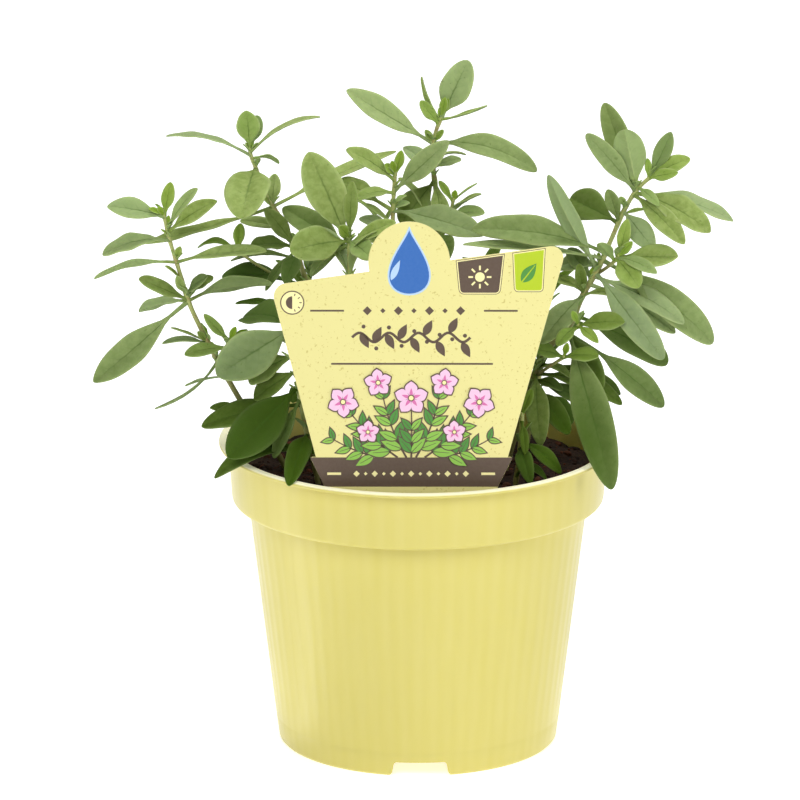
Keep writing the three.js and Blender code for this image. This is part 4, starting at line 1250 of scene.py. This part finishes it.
def tag_print():
    sheet = Print(
        brown=INK_BROWN, cream=INK_CREAM, lime=INK_LIME, green=INK_GREEN, leaf=INK_LEAF, pink=INK_PINK,
        rose=INK_ROSE, blue=INK_BLUE, sky=INK_SKY,
    )
    sheet.stamp("brown", BAND_CORNERS, 1)
    sheet.both("cream", stroke([(20.8, BAND_MIDDLE), (24.9, BAND_MIDDLE)], 0.75), 2)
    for k in range(-6, 7):
        sheet.stamp("cream", circle(2.7 * k, BAND_MIDDLE, 0.55 if k % 2 else 0.95, 4), 2)
    for left, right, y in RULES:
        sheet.stamp("brown", stroke([(left, y), (right, y)], RULE_INK), 1)
    x, y = DIAMOND_ROW
    for k in range(-3, 4):
        sheet.stamp("brown", circle(x + 4.6 * k, y, 1.35 if k % 2 else 0.8, 4), 1)
    vine(sheet)
    sprigs(sheet)
    signs(sheet)
    sheet.pieces()


def vine(sheet):
    """A plain wavy vine across the middle of the tag."""
    shares = np.linspace(-1, 1, 57)
    line = np.stack([17.5 * shares, 43.5 + 1.4 * np.sin(2 * pi * 2 * shares)], -1)
    sheet.stamp("brown", stroke(line, 0.8), 1)
    for k in range(4, 54, 6):
        side = 1 if (k // 6) % 2 else -1
        sheet.stamp("brown", oval(line[k], 62 * side, 5.2, 2.5), 1)
        sheet.stamp("brown", circle(*(line[k] + (0.9, -1.9 * side)), 0.62, 10), 1)


def sprigs(sheet):
    """Sprigs and blossoms in mirror symmetry, rising from the band."""
    for order, (start, middle, end, leaves, longest) in enumerate(TWIGS):
        print_sprig(sheet.both if start[0] else sheet.stamp, bow(start, middle, end), leaves, longest, order)
    for centre, size, turn in BLOSSOMS:
        print_blossom(sheet.both if centre[0] else sheet.stamp, centre, size, turn)


def signs(sheet):
    """Plain signs: a half-shade ring, a sun tab, a leaf tab and a water drop."""
    ring = circle(*HALF_SHADE, 3.6, 40)
    sheet.stamp("brown", ring, 1)
    sheet.stamp("cream", widened(ring, -0.35), 2)
    sheet.stamp("brown", circle(*HALF_SHADE, 1.9, 25, 90, 180), 3)
    for k in range(-2, 3):
        way = heading(radians(36 * k))
        sheet.stamp("brown", stroke([HALF_SHADE + 2.1 * way, HALF_SHADE + 2.8 * way], 0.3), 3)
    print_tab(sheet, SUN_TAB, "brown")
    print_sun(sheet, "cream", SUN, 3.4, 4)
    print_tab(sheet, LEAF_TAB, "lime")
    sheet.stamp("green", oval(LEAF_SIGN, 52, 7.2, 3.6), 4)
    sheet.stamp("lime", stroke([LEAF_SIGN, (36.6, 65.1)], 0.4, 0.2), 5)
    shares = np.linspace(0, 1, 40, endpoint=False)
    swell = np.sin(pi * shares) ** 1.5
    around = 2 * pi * shares
    across = TAG_BUMP[0] + DROP_WIDTH * swell * np.sin(around)
    drop = np.stack([across, DROP_TOP - DROP_HEIGHT * (1 - np.cos(around)) / 2], -1)[::-1]
    sheet.stamp("sky", widened(drop, 0.5), 1)
    sheet.stamp("blue", drop, 2)
    sheet.stamp("sky", oval((-6, 60.6), 66, 6.6, 1.9), 3)


# Leaves and stems
def route_point(route, share):
    """A point of the smooth line through a route's points."""
    points = np.array(route, float)
    before, after = 2 * points[0] - points[1], 2 * points[-1] - points[-2]
    reach = share * (len(points) - 1)
    k = min(int(reach), len(points) - 2)
    part = reach - k
    line = np.vstack([before, points, after])[k:k + 4]
    leave, arrive = (line[2] - line[0]) / 2, (line[3] - line[1]) / 2
    cube = 2 * line[1] - 2 * line[2] + leave + arrive
    square = -3 * line[1] + 3 * line[2] - 2 * leave - arrive
    return line[1] + leave * part + square * part ** 2 + cube * part ** 3


def point_at(route, height):
    """The point of a route at a height."""
    low, high = 0.0, 1.0
    for _ in range(SEARCH_STEPS):
        middle = (low + high) / 2
        if route_point(route, middle)[2] < height:
            low = middle
        else:
            high = middle
    return route_point(route, (low + high) / 2)


def ring_around(centre, along, radius, sides, squareness=0.0):
    """A ring about a direction, a little square where squareness is given."""
    tangent = unit(along)
    across = unit(np.cross(tangent, (0, 1, 0)))
    other = np.cross(tangent, across)
    angles = np.radians(np.arange(sides) * 360 / sides)[:, None]
    reach = radius * (1 + squareness * np.cos(4 * angles))
    return centre + reach * (np.cos(angles) * across + np.sin(angles) * other)


def blade_profile(share, widest, blunt):
    """A blade's half width as a share of its widest: tapered at its base, more or less blunt at its tip."""
    share = np.clip(share, 0, 1)
    base = np.sin(pi / 2 * np.minimum(share / widest, 1)) ** BLADE_BASE_POWER
    tip = (1 - np.clip((share - widest) / (1 - widest), 0, 1) ** 2) ** blunt
    return np.where(share < widest, base, tip)


def leaf(skin, root, record, young, shade, draw):
    """One leaf: a petiole and a folded blade with a sunk midrib and side veins, as one closed thin form.

    Its shade is how deep its green and its painted shade are, or None where that follows from its place in
    the plant.
    """
    _, dx, dy, dz, width, arch, lean, *rest = record
    side, petiole = rest + [FRONT, PETIOLE_SHARE][len(rest):]
    chord = np.array([dx, dy, dz], float)
    length = np.linalg.norm(chord)
    lean, side = radians(lean), radians(side)
    sky = np.array([sin(lean) * cos(side), sin(lean) * sin(side), cos(lean)])
    up = unit(sky - chord * np.dot(sky, chord) / length ** 2)
    across = np.cross(chord / length, up)
    bend = chord / 2 + 2 * arch * length * up
    columns = np.array(BLADE_COLUMNS if length >= SMALL_BLADE else SMALL_COLUMNS)
    rows = BLADE_ROWS[int(length < GROWN_BLADE) + int(length < SMALL_BLADE)]
    q = np.concatenate([columns, columns[::-1]])
    face = np.repeat([1.0, -1.0], len(columns))
    petiole_rows = np.array(PETIOLE_PLACES)[:, None] - 1
    blade_rows = 1 - (1 - np.linspace(0, 1, rows, endpoint=False)[:, None]) ** ROW_CROWDING
    row = np.vstack([petiole_rows, blade_rows])
    sweep = min(VEIN_SWEEP * width / length, VEIN_SWEEP_MOST)
    share = np.where(row < 0, row, row + sweep * np.abs(q) * 4 * row * (1 - row))
    blade = smooth(0, BLADE_FOOT, share)
    place = np.where(share < 0, petiole * (1 + share), petiole + (1 - petiole) * share)
    thin = min(PETIOLE_HALF_WIDTH, 0.12 * width + 0.12)
    profile = blade_profile(share, draw.between(*BLADE_WIDEST), draw.between(*BLADE_TIP_POWER))
    least = thin * (1 + 0.4 * np.clip(-share, 0, 1)) * (1 - smooth(0.3, 0.7, share))
    half = np.maximum(width / 2 * profile, least)

    size = min(1.0, width / 8)
    wave, sway, twist = draw.between(*WAVES), draw.between(-SWAY, SWAY), draw.between(-TWIST, TWIST)
    beat, start = draw.between(*WAVE_BEATS), draw.between(0, 2 * pi)
    gap = np.abs(q)
    # The fold is 0 at the midrib, where it is rounded off, and 1 at the margin
    fold = (np.sqrt(q ** 2 + 0.012) - 0.11) / 0.896
    lift = half * (sin(radians(FOLD)) * fold + CUP * gap * (1 - gap) - EDGE_TURN * gap ** 6)
    lift = lift + half * wave * q ** 2 * np.sin(2 * pi * beat * share + start + WAVE_LAG * np.sign(q))
    number = np.arange(len(row))[:, None]
    veined = np.where(q > 0, number % VEIN_STEP == 1, number % VEIN_STEP == 3)
    veined = veined * (share > 0.04) * (share < 0.93) * (length >= SMALL_BLADE)
    midrib = (gap == 0) * np.sqrt(np.clip(1 - share, 0, 1))
    sunk = VEIN_DEPTH * veined * (1 - gap ** 3) + MIDRIB_DEPTH * midrib * np.where(face > 0, 0.7, 1)
    lift = lift - size * sunk
    thick = np.where(length < SMALL_BLADE, 0.8, 1.0) * lerp(BLADE_THICKNESS[0], BLADE_THICKNESS[1], gap) / 2
    stalk = 0.8 * thin * np.sqrt(1 - q ** 2) + 0.02
    lift = lift * blade + face * lerp(stalk, thick, blade)
    reach = q * half * np.cos(radians(FOLD) * blade)
    reach, lift = turned(reach, lift, twist * np.clip(share, 0, 1))
    reach = reach + sway * length * np.sin(pi * np.clip(share, 0, 1))

    place = place[..., None]
    centre = root + 2 * place * (1 - place) * bend + place ** 2 * chord
    tangent = 2 * (1 - 2 * place) * bend + 2 * place * chord
    normal = np.cross(across, tangent / np.linalg.norm(tangent, axis=-1)[..., None])
    points = centre + reach[..., None] * across + lift[..., None] * normal
    vein = np.maximum(midrib, VEIN_SHADE * veined * (1 - gap ** 2)) * blade + PETIOLE_SHADE * (1 - blade)
    high = float(smooth(*PALE_HEIGHTS, root[2]))
    dark = draw() < DARK_SHARE * (1 - high) and (abs(root[0]) < DARK_REACH or length < BUDDING_LEAF)
    # Deep green of dark leaves, and painted shade deep in the plant or as a leaf's shade gives it
    deep = np.maximum(painted_shade_in_plant(points), DARK_LEAF * dark) if shade is None else shade
    tone = clamp(PALE_LEAST + PALE_SPREAD * draw() + PALE_GAIN * high)
    margin = gap ** 10 * blade * (1 - 0.8 * deep)
    skin.loft(
        points, end=root + chord, vein=vein, below=(face < 0) * blade, margin=margin,
        young=young, tone=tone, bloom=draw() ** 2, deep=deep * (1 - 0.6 * young),
    )


def painted_shade_in_plant(points):
    """How much painted shade points get deep in the plant, from 0 outside to 1 low in its middle."""
    x, y, z = points[..., 0], points[..., 1], points[..., 2]
    low = (1 - smooth(*SHADE_HEIGHTS, z)) * (1 - 0.4 * smooth(*SHADE_SIDES, np.abs(x)))
    behind = 0.8 * smooth(*SHADE_BACK, y) * (1 - smooth(*SHADE_BACK_HEIGHTS, z))
    return np.maximum(low, behind)


def youth(record, tip_height):
    """How young a leaf is: short leaves and those close to the shoot's tip are."""
    length = np.linalg.norm(record[1:4])
    short = clamp(1 - length / 12)
    near_tip = clamp(1 - (tip_height - record[0]) / 14)
    return clamp(0.3 * short + 0.6 * near_tip * clamp((22 - length) / 14))


def paired_leaves(pairs, draw):
    """Crossed pairs of leaves up a shoot, shorter and steeper towards its tip."""
    first, last, count, azimuth, longest, shortest = pairs
    leaves = []
    for k in range(count):
        share = k / (count - 1)
        turn = azimuth + 90 * k + RULE_TURN * (draw() - 0.5)
        for side in (turn, turn + 180):
            length = lerp(longest, shortest, share) * (1 + RULE_SPREAD * (draw() - 0.5))
            rise = radians(lerp(*RULE_RISE, share) + RULE_TURN * (draw() - 0.5))
            reach = length * cos(rise)
            leaves.append([
                lerp(first, last, share), reach * cos(radians(side)), reach * sin(radians(side)),
                length * sin(rise), RULE_WIDTH * length, RULE_ARCH, RULE_LEAN, side + 180,
            ])
    return leaves


def stalk(skin, shoot, nodes):
    """The stem of a shoot: slightly square, with a swelling at each node and a rounded tip."""
    route, (foot, tip) = shoot["route"], shoot["radii"]
    length = sum(np.linalg.norm(np.subtract(b, a)) for a, b in zip(route, route[1:]))
    shares = np.linspace(0, 1, ceil(length / STALK_STEP) + 1)
    centres = np.array([route_point(route, share) for share in shares])
    along = np.gradient(centres, axis=0)
    rings = []
    for share, centre, way in zip(shares, centres, along):
        swelling = max((exp(-((centre[2] - node) / NODE_LENGTH) ** 2) for node in nodes), default=0)
        radius = STALK_SHARE * lerp(foot, tip, share) * (1 + NODE_SWELLING * swelling)
        rings.append(ring_around(centre, way, radius, STALK_SIDES, STALK_SQUARENESS))
    rings.append(ring_around(centres[-1] + unit(along[-1]) * 0.5 * tip, along[-1], 0.7 * tip, STALK_SIDES))
    shares = np.append(shares, 1.0)[:, None]
    wood = 1 - smooth(0.1, 0.7, shares)
    red = smooth(0.2, 0.5, shares) * (1 - smooth(0.72, 0.95, shares))
    skin.loft(rings, end=centres[-1] + unit(along[-1]) * 0.8 * tip, wood=wood, red=red)
    hairs(skin, centres, STALK_SHARE * np.array([foot, tip]), round(HAIRS * length))


def hairs(skin, centres, radii, count):
    """Fine hairs that stand off a stem above the soil."""
    draw = Draw(count)
    spin = np.radians([0, 120, 240])[:, None]
    for _ in range(count):
        place = draw() * (len(centres) - 1)
        k = min(int(place), len(centres) - 2)
        centre = lerp(centres[k], centres[k + 1], place - k)
        along = unit(centres[k + 1] - centres[k])
        across = unit(np.cross(along, (0, 1, 0)))
        angle, length = 2 * pi * draw(), draw.between(*HAIR_LENGTHS)
        if centre[2] < SOIL_TOP + 1:
            continue
        out = cos(angle) * across + sin(angle) * np.cross(along, across)
        root = centre + 0.9 * lerp(*radii, place / len(centres)) * out
        ring = root + HAIR_RADIUS * (np.cos(spin) * np.cross(out, along) + np.sin(spin) * along)
        skin.loft([ring], end=root + length * (out + 0.35 * along), hair=1)


def buds(skin, root, record, draw):
    """Two tiny leaves in the axil of a grown leaf."""
    out = np.array([record[1], record[2], 0.0])
    out = out / max(np.linalg.norm(out), 1e-6)
    azimuth = degrees(atan2(out[1], out[0]))
    for side in (-1, 1):
        length = draw.between(*BUD_LENGTHS) * lerp(BUD_GROWTH, 1, float(smooth(*BUD_HEIGHTS, root[2])))
        way = radians(azimuth + side * draw.between(*BUD_SPREAD))
        steep = radians(draw.between(*BUD_RISE))
        chord = [length * cos(steep) * cos(way), length * cos(steep) * sin(way),
                 length * sin(steep)]
        bud = [0, *chord, 0.42 * length, 0.06, 60, degrees(way) + 180, 0.1]
        leaf(skin, root + (0, 0, 0.5), bud, BUD_YOUTH, None, draw)


def leafy_stem(name, shoots, rule_draw, draw):
    leaves = Skin("leaves_" + name, "vein", "below", "margin", "young", "tone", "bloom", "deep")
    stalks = Skin("stalk_" + name, "wood", "red", "hair")
    for k, shoot in enumerate(shoots):
        shades = LEAF_SHADES.get((name, k), {})
        records = [*shoot["leaves"]]
        for pairs in shoot["pairs"]:
            records.extend(paired_leaves(pairs, rule_draw))
        stalk(stalks, shoot, sorted({record[0] for record in records}))
        for number, record in enumerate(records):
            root = point_at(shoot["route"], record[0])
            young = youth(record, shoot["route"][-1][2])
            leaf(leaves, root, record, young, shades.get(number), draw)
            if np.linalg.norm(record[1:4]) > BUDDING_LEAF:
                buds(leaves, root, record, draw)
    return leaves, stalks


def plant():
    leaf_finish, stalk_finish = leaf_skin(), stalk_skin()
    rule_draw, draw = Draw(RULE_SEED), Draw(DETAIL_SEED)
    for name, shoots in STEMS.items():
        leaves, stalks = leafy_stem(name, shoots, rule_draw, draw)
        leaves.piece(leaf_finish, "leaf", name)
        stalks.piece(stalk_finish, "stem", name)


# Studio
def aimed(name, data, place, aim):
    """A camera or light at a place, turned towards an aim, both in millimetres."""
    thing = placed(name, data)
    thing.location = Vector(place) * MM
    thing.rotation_euler = (Vector(aim) - Vector(place)).to_track_quat("-Z", "Y").to_euler()
    return thing


def softbox(name, place, size, power):
    light = bpy.data.lights.new(name, "AREA")
    light.shape = "RECTANGLE"
    light.size, light.size_y = size[0] * MM, size[1] * MM
    light.energy = power
    aimed(name, light, place, LIGHT_AIM)


def studio():
    mesh = bpy.data.meshes.new("floor")
    half = FLOOR_HALF_WIDTH * MM
    corners = [(-half, -half, 0), (half, -half, 0), (half, half, 0), (-half, half, 0)]
    mesh.from_pydata(corners, [], [(0, 1, 2, 3)])
    mesh.materials.append(floor_paper())
    floor = placed("floor", mesh)

    for light in LIGHTS:
        softbox(*light)

    world = bpy.data.worlds.new("studio")
    world.use_nodes = True
    sky = world.node_tree.nodes["Background"]
    sky.inputs["Color"].default_value = (1, 1, 1, 1)
    sky.inputs["Strength"].default_value = WORLD_LIGHT
    bpy.context.scene.world = world

    camera = bpy.data.cameras.new("camera")
    camera.sensor_width = SENSOR_WIDTH
    camera.lens = CAMERA_LENS
    camera.clip_end = 50
    bpy.context.scene.camera = aimed("camera", camera, CAMERA_PLACE, CAMERA_AIM)
    bpy.context.scene.view_settings.view_transform = "Standard"


pot()
soil()
tag_plate()
tag_print()
plant()
studio()

bpy.context.view_layer.update()
